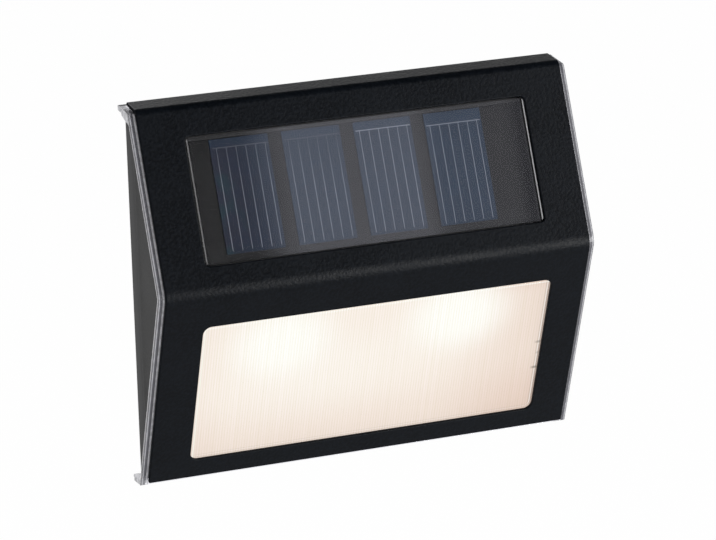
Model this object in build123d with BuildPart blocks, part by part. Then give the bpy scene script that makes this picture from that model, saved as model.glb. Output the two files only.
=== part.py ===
from build123d import *
import math
import os

os.makedirs("parts", exist_ok=True)

# Solar step light for a wall, in millimetres.
# X runs to the right, Y back into the wall, Z up.
# The origin is on the wall face of the back plate, half way up the folded cover.

# Cover, measured over its outer face
cover_width = 120.0
upper_length = 48.2
lower_length = 58.2
lip_length = 7.65
upper_tilt = 21.3
lower_tilt = 20.2
lip_rise = 14.0
sheet = 1.0
middle_bend = 4.0
crown_bend = 1.5
lip_corner = 0.8
edge_round = 0.25
wall_distance = 7.5

# Solar window, its top edge measured down from the crown fold
solar_window_width = 95.5
solar_window_height = 33.85
solar_window_top = 7.1
solar_window_corner = 1.4

# Light window, its top edge measured down from the middle fold
light_window_width = 98.4
light_window_height = 42.75
light_window_top = 9.85
light_window_corner = 2.2

# Clear moulding
tape = 0.2
tape_margin = 2.0
tape_fit = 0.05
lens_wall = 2.0
flange_overhang = 1.4
return_wall = 1.4
return_drop = 0.8
return_gap = 0.8
pane_gap = 0.35
pane_recess = 0.3
pane_round = 0.25
bead_height = 0.5
bead_length = 2.0
bead_inset = 1.0
bead_slope = 0.3
lens_corner = 0.6
lens_fold = 0.8
flute_pitch = 0.75
flute_height = 0.15
flute_root = 0.2
gusset = 1.3
gusset_reach = 3.2
gusset_rise = 2.6
gusset_edge = 0.6
gusset_root = 0.3

# Dark housing
housing_inset = 1.3
housing_wall = 1.8
housing_gap = 0.8
glue = 0.1
frame_wall = 1.2
frame_width = 9.9
frame_height = 5.5
frame_corner = 3.0
shelf_drop = 0.2
shelf_wall = 1.5
shelf_distance = 8.0
notch_x = 29.0
notch_width = 12.0
notch_depth = 7.0

# Back plate, gasket and screws
plate = 2.0
plate_clearance = 0.25
plate_corner = 2.0
plate_edge = 0.4
blank_width = 56.0
blank_height = 20.0
blank_z = -24.0
blank_depth = 0.4
blank_corner = 1.5
gasket = 0.6
gasket_width = 1.8
gasket_inset = 0.4
screw_inset = 3.6
screw_edge = 11.0
screw_shank = 1.0
screw_head = 2.1
screw_head_height = 1.15
screw_head_edge = 0.3
screw_sink = 0.1
screw_clearance = 0.05
screw_length = 5.4
screw_point = 0.5
screw_room = 0.3
boss_radius = 2.8
boss_cap = 0.8

# Keyholes for two wall screws
keyhole_spacing = 82.0
keyhole_height = 28.0
keyhole_entry = 4.25
keyhole_slot = 2.1
keyhole_rise = 6.0
keyhole_depth = 2.8
pocket_radius = 4.6
pocket_wall = 1.2

# Battery and its well
battery_radius = 5.25
battery_length = 44.5
battery_nub = 1.9
battery_nub_height = 1.0
battery_play = 0.85
battery_rise = 11.14
battery_clearance = 0.35
battery_edge = 0.4
well_wall = 1.3
spring_length = 3.95
spring_wire = 0.25
spring_play = 0.03
spring_turns = 3.0
wire_sides = 8
spring_base = 3.7
spring_tip = 2.3
contact_thickness = 0.4
contact_size = 7.6
contact_tab = 2.4
contact_tab_length = 3.4
contact_dimple = 0.25
contact_dimple_radius = 1.5

# Battery cover
door_height = 18.6
door_wall = 1.6
door_sink = 0.3
door_gap = 0.25
door_corner = 2.0
door_edge = 0.25
door_seat = 1.2
door_screw_offset = 4.6
door_screw_margin = 3.5
door_boss = 2.4
rib_wall = 1.2
rib_height = 8.8
rib_spacing = 24.0
rib_gap = 0.3
grip_count = 5
grip_pitch = 2.2
grip_width = 0.8
grip_length = 10.0
grip_height = 0.2
seal = 0.6
seal_width = 1.3
seal_inset = 0.5

# Slide switch
switch_x = 38.0
switch_z = -3.0
recess_width = 11.0
recess_height = 6.0
recess_depth = 3.6
recess_floor = 1.2
recess_corner = 0.8
switch_width = 12.0
switch_height = 6.0
switch_depth = 5.0
switch_shell = 0.6
knob_width = 3.0
knob_height = 2.4
knob_travel = 3.0
knob_sink = 0.5
knob_edge = 0.2
knob_clearance = 0.1
slider_width = 5.0
slider_depth = 2.0
slider_height = 3.6
clip_wall = 1.0
clip_hook = 0.8
clip_width = 4.0
clip_offset = 3.2
pin_spacing = 2.5
pin_width = 0.8
pin_height = 0.5
pin_length = 2.7

# Reflector tray and light board
tray_wall = 1.0
tray_depth = 5.0
tray_margin = 0.7
tray_side = 0.1
tray_floor_length = 21.0
tray_foot_depth = 0.6
led_spacing = 50.0
led_distance = 23.0
led_window_width = 4.6
led_window_height = 3.8
led_width = 3.5
led_height = 2.8
led_depth = 1.9
led_cup = 1.15
led_cup_depth = 0.5
board = 1.6
board_length = 68.0
board_height = 14.0
board_drop = 22.0
post_radius = 1.0
post_head = 1.6
post_head_height = 0.6
post_spacing = 20.0
post_clearance = 0.1

# Parts on the back of the light board, placed by x and distance down the face
chip_x = 0.0
chip_drop = 20.0
chip_length = 4.9
chip_width = 3.9
chip_height = 1.3
chip_lift = 0.15
chip_legs = 4
chip_leg_pitch = 1.27
chip_leg_width = 0.4
chip_leg_thickness = 0.2
chip_leg_reach = 1.0
choke_x = 18.0
choke_drop = 24.0
choke_radius = 1.5
choke_length = 7.0
choke_wire = 0.3
choke_span = 10.0
choke_bend = 0.7
choke_edge = 0.4
capacitor_x = -18.0
capacitor_drop = 23.0
capacitor_radius = 2.0
capacitor_height = 3.0
capacitor_base = 0.5
capacitor_corner = 0.6

# Solar panel
panel_width = 98.0
panel_height = 35.5
panel_top = 6.55
panel_tape_width = 1.5
panel_resin = 1.0
panel_board = 1.6
cell_count = 4
cell_width = 16.2
cell_height = 30.0
cell_pitch = 20.06
cell_start = -40.1
cell_top = 8.2
cell_thickness = 0.25

# Insulated leads, placed by x and by distance down the face they start or end on
lead_radius = 0.55
lead_bend = 1.0
lead_straight = 2.4
lead_board_drop = 17.0
solar_lead_drop = 38.0
solar_lead_starts = (-31.5, -34.0)
solar_lead_ends = (-30.2, -33.0)
solar_lead_knee_y = -10.5
solar_lead_knee_drop = 1.86
battery_lead_x = 27.3
battery_lead_y = -9.2
switch_lead_ends = (30.0, 24.6)
switch_lead_y = -11.2
switch_lead_rise = 2.6


def radians(degrees):
    return math.radians(degrees)


# Side view: directions along each face and inwards from it, as (y, z)
lower_up = Vector(-math.sin(radians(lower_tilt)), math.cos(radians(lower_tilt)))
lower_in = Vector(math.cos(radians(lower_tilt)), math.sin(radians(lower_tilt)))
upper_up = Vector(math.sin(radians(upper_tilt)), math.cos(radians(upper_tilt)))
upper_in = Vector(math.cos(radians(upper_tilt)), -math.sin(radians(upper_tilt)))
lip_back = Vector(math.cos(radians(lip_rise)), math.sin(radians(lip_rise)))
lip_in = Vector(math.sin(radians(lip_rise)), -math.cos(radians(lip_rise)))

# Side view: sharp corners of the cover's outer face, rounded later by its bends
cover_height = lower_length * lower_up.Y + upper_length * upper_up.Y
foot = Vector(-wall_distance, -cover_height / 2)
middle = foot + lower_up * lower_length
crown = middle + upper_up * upper_length
lip_end = crown + lip_back * lip_length
battery_axis_y = -(door_sink + door_wall + battery_play + battery_radius)
battery_axis_z = middle.Y + battery_rise


def lower_face(depth):
    return foot + lower_in * depth, lower_up


def upper_face(depth):
    return crown + upper_in * depth, upper_up


def lip_face(depth):
    return crown + lip_in * depth, lip_back


def level(height):
    return Vector(0, height), Vector(1, 0)


def upright(distance):
    return Vector(distance, 0), Vector(0, 1)


def crossing(first, second):
    """Point where two lines of the side view meet."""
    point, along = first
    other, across = second
    gap = other - point
    share = (gap.X * across.Y - gap.Y * across.X) / (along.X * across.Y - along.Y * across.X)
    return point + along * share


def side_outline(corners, radii=None):
    """Closed side view through the corners, each rounded by its own radius."""
    with BuildSketch(Plane.YZ) as outline:
        with BuildLine():
            if radii is None:
                Polyline(*corners, close=True)
            else:
                FilletPolyline(*corners, radius=radii, close=True)
        make_face()
    return outline.sketch


def back_sketch(depth):
    """Sketch plane parallel to the wall, this far in front of it."""
    return Plane.XZ.offset(depth)


# Planes on the two faces of the cover, each with its Y up the face
upper_plane = Plane(
    origin=(0, crown.X, crown.Y), x_dir=(1, 0, 0), z_dir=(0, -upper_in.X, -upper_in.Y)
)
lower_plane = Plane(
    origin=(0, middle.X, middle.Y), x_dir=(1, 0, 0), z_dir=(0, -lower_in.X, -lower_in.Y)
)
solar_centre = -solar_window_top - solar_window_height / 2
light_centre = -light_window_top - light_window_height / 2

# Depths below the cover's outer face
tape_depth = sheet
lens_depth = sheet + tape
pane_depth = lens_depth + lens_wall
return_depth = lens_depth + return_wall
housing_depth = pane_depth + glue
lens_half = cover_width / 2 + flange_overhang
housing_half = cover_width / 2 - housing_inset

# Folded steel cover
with BuildPart() as front_cover:
    outer = [crossing(lower_face(0), level(foot.Y)), middle, crown, lip_end]
    inner = [
        lip_end + lip_in * sheet,
        crossing(upper_face(sheet), lip_face(sheet)),
        crossing(lower_face(sheet), upper_face(sheet)),
        foot + lower_in * sheet,
    ]
    bends = [0, middle_bend, crown_bend, 0, 0, crown_bend - sheet, middle_bend - sheet, 0]
    extrude(side_outline(outer + inner, bends), amount=cover_width / 2, both=True)
    lip_corners = front_cover.edges().filter_by(Axis.X, reverse=True).group_by(Axis.Y)[-1]
    fillet(lip_corners.filter_by(Plane.YZ), lip_corner)
    with BuildSketch(upper_plane):
        with Locations((0, solar_centre)):
            RectangleRounded(solar_window_width, solar_window_height, solar_window_corner)
    with BuildSketch(lower_plane):
        with Locations((0, light_centre)):
            RectangleRounded(light_window_width, light_window_height, light_window_corner)
    extrude(amount=-2 * sheet, mode=Mode.SUBTRACT)
    for plane in (upper_plane, lower_plane):
        face = front_cover.faces().filter_by(lambda f, p=plane: p.contains(f.center()))
        fillet(face.sort_by(SortBy.AREA)[-1].inner_wires().edges(), edge_round)
front_cover.part.label = "front_cover"
export_step(front_cover.part, "parts/front_cover.step")

# Tape between the cover and the clear moulding: a frame round each window
with BuildPart() as cover_tape:
    for plane, centre, length, width, height in (
        (upper_plane, solar_centre, upper_length, solar_window_width, solar_window_height),
        (lower_plane, light_centre, lower_length, light_window_width, light_window_height),
    ):
        with BuildSketch(plane.offset(-tape_depth)):
            with Locations((0, -length / 2)):
                Rectangle(cover_width - 2 * tape_margin, length - 2 * tape_margin - middle_bend)
            with Locations((0, centre)):
                reach = 2 * (tape_fit - pane_gap)
                Rectangle(width + reach, height + reach, mode=Mode.SUBTRACT)
        extrude(amount=-tape)
cover_tape.part.label = "cover_tape"
export_step(cover_tape.part, "parts/cover_tape.step")

# Clear moulding: folded wall with returns at top and bottom
return_foot = foot.Y - return_drop
return_back = -return_gap
return_top = return_foot + return_wall
bead_half = housing_half - housing_wall
bead_seats = (
    (crossing(lip_face(return_depth), upright(return_back)), lip_back, lip_in),
    (Vector(return_back, return_top), Vector(1, 0), Vector(0, 1)),
)
with BuildPart() as clear_lens:
    outer = [
        Vector(return_back, return_foot),
        crossing(lower_face(lens_depth), level(return_foot)),
        crossing(lower_face(lens_depth), upper_face(lens_depth)),
        crossing(upper_face(lens_depth), lip_face(lens_depth)),
        crossing(lip_face(lens_depth), upright(return_back)),
    ]
    inner = [
        crossing(lip_face(return_depth), upright(return_back)),
        crossing(upper_face(pane_depth), lip_face(return_depth)),
        crossing(lower_face(pane_depth), upper_face(pane_depth)),
        crossing(lower_face(pane_depth), level(return_top)),
        Vector(return_back, return_top),
    ]
    bends = [
        0,
        lens_corner,
        middle_bend - lens_depth,
        lens_corner,
        0,
        0,
        lens_corner,
        lens_fold,
        lens_corner,
        0,
    ]
    extrude(side_outline(outer + inner, bends), amount=lens_half, both=True)
    # Snap beads near the rear ends of both returns
    for start, along, inwards in bead_seats:
        bead = [
            start - along * bead_inset - inwards * glue,
            start - along * (bead_inset + bead_slope) + inwards * bead_height,
            start - along * (bead_inset + bead_length - bead_slope) + inwards * bead_height,
            start - along * (bead_inset + bead_length) - inwards * glue,
        ]
        extrude(side_outline(bead), amount=bead_half, both=True)
    # Gussets that tie the flange to the returns at the four corners
    low_corner = crossing(lower_face(pane_depth), level(return_top))
    high_corner = crossing(upper_face(pane_depth), lip_face(return_depth))
    for corner, along, up in (
        (low_corner, Vector(1, 0), lower_up),
        (high_corner, lip_back, upper_up * -1),
    ):
        root = corner - (along + up) * gusset_root
        web = [
            root,
            root + along * (gusset_reach + gusset_root),
            corner + along * (gusset_reach - gusset_edge) + up * gusset_edge,
            corner + along * 2 * gusset_edge + up * (gusset_rise - 2 * gusset_edge),
            corner + along * gusset_edge + up * gusset_rise,
            root + up * (gusset_rise + gusset_root),
        ]
        for side in (-1, 1):
            with BuildSketch(Plane.YZ.offset(side * (lens_half - gusset))):
                with BuildLine():
                    Polyline(*web, close=True)
                make_face()
            extrude(amount=side * gusset)
    # A raised pane fills each window of the cover
    for plane, centre, width, height, corner in (
        (upper_plane, solar_centre, solar_window_width, solar_window_height, solar_window_corner),
        (lower_plane, light_centre, light_window_width, light_window_height, light_window_corner),
    ):
        with BuildSketch(plane.offset(-pane_recess)):
            with Locations((0, centre)):
                RectangleRounded(width - 2 * pane_gap, height - 2 * pane_gap, corner - pane_gap)
        extrude(amount=-(lens_depth - pane_recess + flute_root))
        pane = clear_lens.faces().filter_by(lambda f, p=plane: p.offset(-pane_recess).contains(f.center()))
        fillet(pane.sort_by(SortBy.AREA)[-1].edges(), pane_round)
    # Fine half-round flutes run down the inside of the light pane
    flute_count = int((light_window_width - 2 * pane_gap) / flute_pitch)
    flute_half = flute_count * flute_pitch / 2
    flute_foot = middle - lower_up * (light_window_top + light_window_height)
    flute_plane = Plane(
        origin=(0, flute_foot.X, flute_foot.Y), x_dir=(1, 0, 0), z_dir=(0, lower_up.X, lower_up.Y)
    )
    with BuildSketch(flute_plane):
        with BuildLine():
            for number in range(flute_count):
                left = -flute_half + number * flute_pitch
                ThreePointArc(
                    (left, pane_depth),
                    (left + flute_pitch / 2, pane_depth + flute_height),
                    (left + flute_pitch, pane_depth),
                )
            Polyline(
                (flute_half, pane_depth),
                (flute_half, pane_depth - flute_root),
                (-flute_half, pane_depth - flute_root),
                (-flute_half, pane_depth),
            )
        make_face()
    extrude(amount=light_window_height)
clear_lens.part.label = "clear_lens"
export_step(clear_lens.part, "parts/clear_lens.step")

# Dark housing: a box that follows the fold, with a frame across its back
wall_top = return_depth + glue
floor_height = return_top + glue
floor_inside = floor_height + housing_wall
room_half = housing_half - housing_wall
frame_back = plate + gasket
frame_front = frame_back + frame_wall
ceiling = lip_face(wall_top + housing_wall)
ceiling_height = crossing(ceiling, upright(-frame_back)).Y
opening_half = room_half - frame_width
opening_top = ceiling_height - frame_height
opening_foot = floor_inside + frame_height
opening_centre = (opening_top + opening_foot) / 2
shelf_top = middle.Y - shelf_drop
shelf_foot = shelf_top - shelf_wall
screw_x = room_half - screw_inset
screw_heights = (floor_inside + screw_edge, ceiling_height - screw_edge)
screw_places = [(side * screw_x, height) for side in (-1, 1) for height in screw_heights]
screw_end = screw_sink + screw_head_height + screw_length
boss_end = screw_end + screw_room + boss_cap
with BuildPart() as rear_housing:
    outer = [
        crossing(lower_face(housing_depth), level(floor_height)),
        crossing(lower_face(housing_depth), upper_face(housing_depth)),
        crossing(upper_face(housing_depth), lip_face(wall_top)),
        crossing(lip_face(wall_top), upright(-housing_gap)),
        Vector(-housing_gap, floor_height),
    ]
    bends = [lens_corner, 0, lens_corner, 0, 0]
    extrude(side_outline(outer, bends), amount=housing_half, both=True)
    back_edges = rear_housing.edges().filter_by(Axis.Z).group_by(Axis.Y)[-1]
    fillet(back_edges, housing_wall / 2)
    # Room in front of the frame, open towards the clear moulding, with a shelf at the fold
    ahead = housing_depth - 2 * housing_wall
    room = [
        crossing(lower_face(ahead), level(floor_inside)),
        crossing(lower_face(ahead), level(shelf_foot)),
        Vector(-shelf_distance, shelf_foot),
        Vector(-shelf_distance, shelf_top),
        crossing(lower_face(ahead), level(shelf_top)),
        crossing(lower_face(ahead), upper_face(ahead)),
        crossing(upper_face(ahead), ceiling),
        crossing(ceiling, upright(-frame_front)),
        Vector(-frame_front, floor_inside),
    ]
    extrude(side_outline(room), amount=room_half, both=True, mode=Mode.SUBTRACT)
    # Rebate behind the frame for the gasket and the back plate
    rebate = [
        Vector(-frame_back, floor_inside),
        crossing(ceiling, upright(-frame_back)),
        crossing(ceiling, upright(housing_gap)),
        Vector(housing_gap, floor_inside),
    ]
    extrude(side_outline(rebate), amount=room_half, both=True, mode=Mode.SUBTRACT)
    # Opening in the frame for what stands on the back plate
    with BuildSketch(back_sketch(frame_back)):
        with Locations((0, opening_centre)):
            RectangleRounded(2 * opening_half, opening_top - opening_foot, frame_corner)
    extrude(amount=frame_wall, mode=Mode.SUBTRACT)
    # Grooves for the snap beads of the clear moulding
    for start, along, inwards in bead_seats:
        groove = [
            start - along * (bead_inset - glue) - inwards * glue,
            start - along * (bead_inset - glue) + inwards * (bead_height + glue),
            start - along * (bead_inset + bead_length + glue) + inwards * (bead_height + glue),
            start - along * (bead_inset + bead_length + glue) - inwards * glue,
        ]
        extrude(side_outline(groove), amount=bead_half + glue, both=True, mode=Mode.SUBTRACT)
    # Notches in the shelf for the leads
    with BuildSketch(Plane.XY.offset(shelf_foot)):
        with Locations((-notch_x, -shelf_distance), (notch_x, -shelf_distance)):
            Rectangle(notch_width, 2 * notch_depth)
    extrude(amount=shelf_wall, mode=Mode.SUBTRACT)
    # Screw bosses in front of the frame, each with a web to the side wall
    with BuildSketch(back_sketch(frame_front)):
        with Locations(*screw_places):
            Circle(boss_radius)
        for x, z in screw_places:
            with Locations((math.copysign(screw_x + screw_inset / 2, x), z)):
                Rectangle(screw_inset + housing_wall, boss_radius)
    extrude(amount=boss_end - frame_front)
    with BuildSketch(back_sketch(frame_back)):
        with Locations(*screw_places):
            Circle(screw_shank + screw_clearance)
    extrude(amount=screw_end + screw_room - frame_back, mode=Mode.SUBTRACT)
rear_housing.part.label = "rear_housing"
export_step(rear_housing.part, "parts/rear_housing.step")

# Rubber loop between the frame and the back plate
with BuildPart() as back_gasket:
    with BuildSketch(back_sketch(plate)):
        with Locations((0, opening_centre)):
            for reach, mode in ((gasket_inset + gasket_width, Mode.ADD), (gasket_inset, Mode.SUBTRACT)):
                width = 2 * (opening_half + reach)
                height = opening_top - opening_foot + 2 * reach
                RectangleRounded(width, height, frame_corner + reach, mode=mode)
    extrude(amount=gasket)
back_gasket.part.label = "back_gasket"
export_step(back_gasket.part, "parts/back_gasket.step")

# Back plate with keyholes, battery well and switch recess
plate_half = room_half - plate_clearance
plate_top = crossing(ceiling, upright(-plate)).Y - plate_clearance
plate_foot = floor_inside + plate_clearance
keyhole_entries = [(side * keyhole_spacing / 2, keyhole_height) for side in (-1, 1)]
keyhole_centres = [(x, height + keyhole_rise / 2) for x, height in keyhole_entries]
well_half = (battery_length + spring_length + contact_dimple) / 2 + contact_thickness
well_radius = battery_radius + battery_clearance
seat_depth = door_sink + door_wall + seal
seat_front = seat_depth + door_seat
door_screw_x = well_half + door_screw_offset
door_screws_at = [(side * door_screw_x, battery_axis_z) for side in (-1, 1)]
door_half = door_screw_x + door_screw_margin
door_screw_end = screw_sink + screw_head_height + screw_length
switch_seat = recess_depth + recess_floor
switch_front = switch_seat + switch_depth
tab_y = battery_axis_y - (contact_size - contact_thickness) / 2
with BuildPart() as back_plate:
    with BuildSketch(back_sketch(0)):
        with Locations((0, (plate_top + plate_foot) / 2)):
            RectangleRounded(2 * plate_half, plate_top - plate_foot, plate_corner)
    extrude(amount=plate)
    chamfer(back_plate.edges().group_by(Axis.Y)[-1], plate_edge)
    # A shallow sunk field, left blank
    with BuildSketch(back_sketch(0)):
        with Locations((0, blank_z)):
            RectangleRounded(blank_width, blank_height, blank_corner)
    extrude(amount=blank_depth, mode=Mode.SUBTRACT)
    # Blocks in front of the plate: keyhole pockets, battery seat, switch recess
    with BuildSketch(back_sketch(plate)):
        with Locations(*keyhole_centres):
            SlotCenterToCenter(keyhole_rise, 2 * (pocket_radius + pocket_wall), rotation=90)
    extrude(amount=keyhole_depth + pocket_wall)
    with BuildSketch(back_sketch(plate)):
        with Locations((0, battery_axis_z)):
            Rectangle(2 * (door_half + door_gap + well_wall), door_height + 2 * (door_gap + well_wall))
    extrude(amount=seat_front - plate)
    with BuildSketch(back_sketch(plate)):
        with Locations((switch_x, switch_z)):
            Rectangle(recess_width + 2 * recess_floor, recess_height + 2 * recess_floor)
    extrude(amount=switch_seat - plate)
    with BuildSketch(Plane.YZ):
        with Locations((battery_axis_y, battery_axis_z)):
            Circle(well_radius + well_wall)
        with Locations(((battery_axis_y - plate) / 2, battery_axis_z)):
            Rectangle(-battery_axis_y - plate, 2 * (well_radius + well_wall))
    extrude(amount=well_half + well_wall, both=True)
    with BuildSketch(back_sketch(seat_front)):
        with Locations(*door_screws_at):
            Circle(door_boss)
    extrude(amount=door_screw_end + screw_room + boss_cap - seat_front)
    # Keyholes: a round entry, a narrow slot above it, a hollow behind both
    with BuildSketch(back_sketch(plate)):
        with Locations(*keyhole_centres):
            SlotCenterToCenter(keyhole_rise, 2 * pocket_radius, rotation=90)
    extrude(amount=keyhole_depth, mode=Mode.SUBTRACT)
    with BuildSketch(back_sketch(0)):
        with Locations(*keyhole_centres):
            SlotCenterToCenter(keyhole_rise, 2 * keyhole_slot, rotation=90)
        with Locations(*keyhole_entries):
            Circle(keyhole_entry)
    extrude(amount=plate, mode=Mode.SUBTRACT)
    # Well for the battery, and the stepped seat of its cover
    with BuildSketch(Plane.YZ):
        with Locations((battery_axis_y, battery_axis_z)):
            Circle(well_radius)
        with Locations((battery_axis_y / 2, battery_axis_z)):
            Rectangle(-battery_axis_y, 2 * well_radius)
    extrude(amount=well_half, both=True, mode=Mode.SUBTRACT)
    with BuildSketch(back_sketch(0)):
        with Locations((0, battery_axis_z)):
            RectangleRounded(2 * (door_half + door_gap), door_height + 2 * door_gap, door_corner)
    extrude(amount=seat_depth, mode=Mode.SUBTRACT)
    with BuildSketch(back_sketch(seat_depth)):
        with Locations(*door_screws_at):
            Circle(screw_shank + screw_clearance)
    extrude(amount=door_screw_end + screw_room - seat_depth, mode=Mode.SUBTRACT)
    # Slots in the ends of the well for the tabs of the contacts
    with BuildSketch(Plane.YZ):
        with Locations((tab_y, battery_axis_z)):
            Rectangle(contact_thickness + 2 * glue, contact_tab + 2 * glue)
    extrude(amount=well_half + 2 * well_wall, both=True, mode=Mode.SUBTRACT)
    # Switch recess, its floor slotted for the knob
    with BuildSketch(back_sketch(0)):
        with Locations((switch_x, switch_z)):
            RectangleRounded(recess_width, recess_height, recess_corner)
    extrude(amount=recess_depth, mode=Mode.SUBTRACT)
    with BuildSketch(back_sketch(recess_depth)):
        with Locations((switch_x, switch_z)):
            Rectangle(knob_width + knob_travel + 2 * knob_clearance, knob_height + 2 * knob_clearance)
    extrude(amount=recess_floor, mode=Mode.SUBTRACT)
    # Two clips that hold the switch against the recess
    for side in (-1, 1):
        inner = switch_z + side * (switch_height / 2 + knob_clearance)
        hook = -switch_front - knob_clearance
        clip = [
            (-switch_seat, inner),
            (hook, inner),
            (hook, inner - side * clip_hook),
            (hook - clip_wall, inner),
            (hook - clip_wall, inner + side * clip_wall),
            (-switch_seat, inner + side * clip_wall),
        ]
        with BuildSketch(Plane.YZ.offset(switch_x + clip_offset - clip_width / 2)):
            with BuildLine():
                Polyline(*clip, close=True)
            make_face()
        extrude(amount=clip_width)
    # Stepped holes for the four back screws
    with BuildSketch(back_sketch(0)):
        with Locations(*screw_places):
            Circle(screw_head + plate_clearance)
    extrude(amount=screw_sink + screw_head_height, mode=Mode.SUBTRACT)
    with BuildSketch(back_sketch(0)):
        with Locations(*screw_places):
            Circle(screw_shank + plate_clearance)
    extrude(amount=plate, mode=Mode.SUBTRACT)
back_plate.part.label = "back_plate"
export_step(back_plate.part, "parts/back_plate.step")


def self_tapper():
    """Screw with the outer face of its head on the wall face, pointing to the front."""
    with BuildPart() as screw:
        with BuildSketch(back_sketch(0)):
            Circle(screw_head)
        extrude(amount=screw_head_height)
        chamfer(screw.edges().group_by(Axis.Y)[-1], screw_head_edge)
        with BuildSketch(back_sketch(screw_head_height)):
            Circle(screw_shank)
        extrude(amount=screw_length)
        chamfer(screw.edges().group_by(Axis.Y)[0], screw_point)
    return screw.part


# Four screws of the back plate
with BuildPart() as back_screws:
    for x, z in screw_places:
        add(self_tapper().moved(Location((x, -screw_sink, z))))
back_screws.part.label = "back_screws"
export_step(back_screws.part, "parts/back_screws.step")

# One AAA cell, its raised contact to the right
battery_end = well_half - contact_thickness - contact_dimple
battery_start = battery_end - battery_length
battery_left = Plane.YZ.offset(battery_start)
with BuildPart() as battery:
    with BuildSketch(battery_left):
        with Locations((battery_axis_y, battery_axis_z)):
            Circle(battery_radius)
    extrude(amount=battery_length - battery_nub_height)
    chamfer(battery.edges().filter_by(GeomType.CIRCLE), battery_edge)
    with BuildSketch(battery_left.offset(battery_length - battery_nub_height)):
        with Locations((battery_axis_y, battery_axis_z)):
            Circle(battery_nub)
    extrude(amount=battery_nub_height)
battery.part.label = "battery"
export_step(battery.part, "parts/battery.step")

# Contacts at both ends of the well, each with a tab through the end wall
with BuildPart() as contact_plates:
    for side in (-1, 1):
        face = Plane.YZ.offset(side * (well_half - contact_thickness))
        with BuildSketch(face):
            with Locations((battery_axis_y, battery_axis_z)):
                Rectangle(contact_size, contact_size)
        extrude(amount=side * contact_thickness)
        with BuildSketch(face):
            with Locations((tab_y, battery_axis_z)):
                Rectangle(contact_thickness, contact_tab)
        extrude(amount=side * (contact_thickness + contact_tab_length))
    with BuildSketch(Plane.YZ.offset(well_half - contact_thickness)):
        with Locations((battery_axis_y, battery_axis_z)):
            Circle(contact_dimple_radius)
    extrude(amount=-contact_dimple)
contact_plates.part.label = "contact_plates"
export_step(contact_plates.part, "parts/contact_plates.step")

# Conical spring, pressed between the left contact and the battery
spring_start = -well_half + contact_thickness + spring_wire + spring_play
spring_stop = battery_start - spring_wire - spring_play
spring_rise = spring_stop - spring_start
spring_taper = spring_tip - spring_base


def spring_point(turns):
    share = turns / spring_turns
    radius = spring_base + spring_taper * share
    angle = 2 * math.pi * turns
    return Vector(
        spring_start + spring_rise * share,
        battery_axis_y + radius * math.cos(angle),
        battery_axis_z + radius * math.sin(angle),
    )


def spring_tangent(turns):
    radius = spring_base + spring_taper * turns / spring_turns
    angle = 2 * math.pi * turns
    widening = spring_taper / spring_turns
    turning = 2 * math.pi * radius
    return Vector(
        spring_rise / spring_turns,
        widening * math.cos(angle) - turning * math.sin(angle),
        widening * math.sin(angle) + turning * math.cos(angle),
    ).normalized()


with BuildPart() as battery_spring:
    with BuildLine() as wire:
        for quarter in range(round(4 * spring_turns)):
            first, last = quarter / 4, (quarter + 1) / 4
            start, stop = spring_point(first), spring_point(last)
            leaving, arriving = spring_tangent(first), spring_tangent(last)
            # Two arcs a quarter turn, smooth where they meet and at both ends
            span = stop - start
            both = leaving + arriving
            turn = 2 * (1 - leaving.dot(arriving))
            pull = span.dot(both)
            reach = (math.sqrt(pull**2 + turn * span.dot(span)) - pull) / turn
            before, after = start + leaving * reach, stop - arriving * reach
            join = (before + after) * 0.5
            TangentArc(start, join, tangent=leaving)
            TangentArc(join, stop, tangent=(after - before).normalized())
    with BuildSketch(Plane(origin=spring_point(0), z_dir=spring_tangent(0))):
        RegularPolygon(spring_wire, wire_sides)
    sweep()
battery_spring.part.label = "battery_spring"
export_step(battery_spring.part, "parts/battery_spring.step")
spring_samples = [spring_point(step / 60) for step in range(round(60 * spring_turns) + 1)]
spring_gap = min(
    (one - other).length
    for number, one in enumerate(spring_samples)
    for other in spring_samples[number + 30 :]
)
print("battery_spring least gap to itself", round(spring_gap - 2 * spring_wire, 2), "mm")

# Battery cover: a flat plate with ribs that hold the battery down
door_back = back_sketch(door_sink)
with BuildPart() as battery_door:
    with BuildSketch(door_back):
        with Locations((0, battery_axis_z)):
            RectangleRounded(2 * door_half, door_height, door_corner - door_gap)
    extrude(amount=door_wall)
    chamfer(battery_door.edges().group_by(Axis.Y)[-1], door_edge)
    for side in (-1, 1):
        with BuildSketch(Plane.YZ.offset(side * rib_spacing / 2)):
            with Locations(((battery_axis_y - door_sink - door_wall) / 2, battery_axis_z)):
                Rectangle(-battery_axis_y - door_sink - door_wall, rib_height)
            with Locations((battery_axis_y, battery_axis_z)):
                Circle(battery_radius + rib_gap, mode=Mode.SUBTRACT)
        extrude(amount=rib_wall / 2, both=True)
    # Grip ribs across the middle of the outside
    with BuildSketch(door_back):
        with Locations((0, battery_axis_z)):
            with GridLocations(grip_pitch, 0, grip_count, 1):
                Rectangle(grip_width, grip_length)
    extrude(amount=-grip_height)
    # Sunk seats for the screw heads
    with BuildSketch(door_back):
        with Locations(*door_screws_at):
            Circle(screw_head + door_gap)
    extrude(amount=screw_sink + screw_head_height - door_sink, mode=Mode.SUBTRACT)
    with BuildSketch(door_back):
        with Locations(*door_screws_at):
            Circle(screw_shank + door_gap)
    extrude(amount=door_wall, mode=Mode.SUBTRACT)
battery_door.part.label = "battery_door"
export_step(battery_door.part, "parts/battery_door.step")

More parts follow.
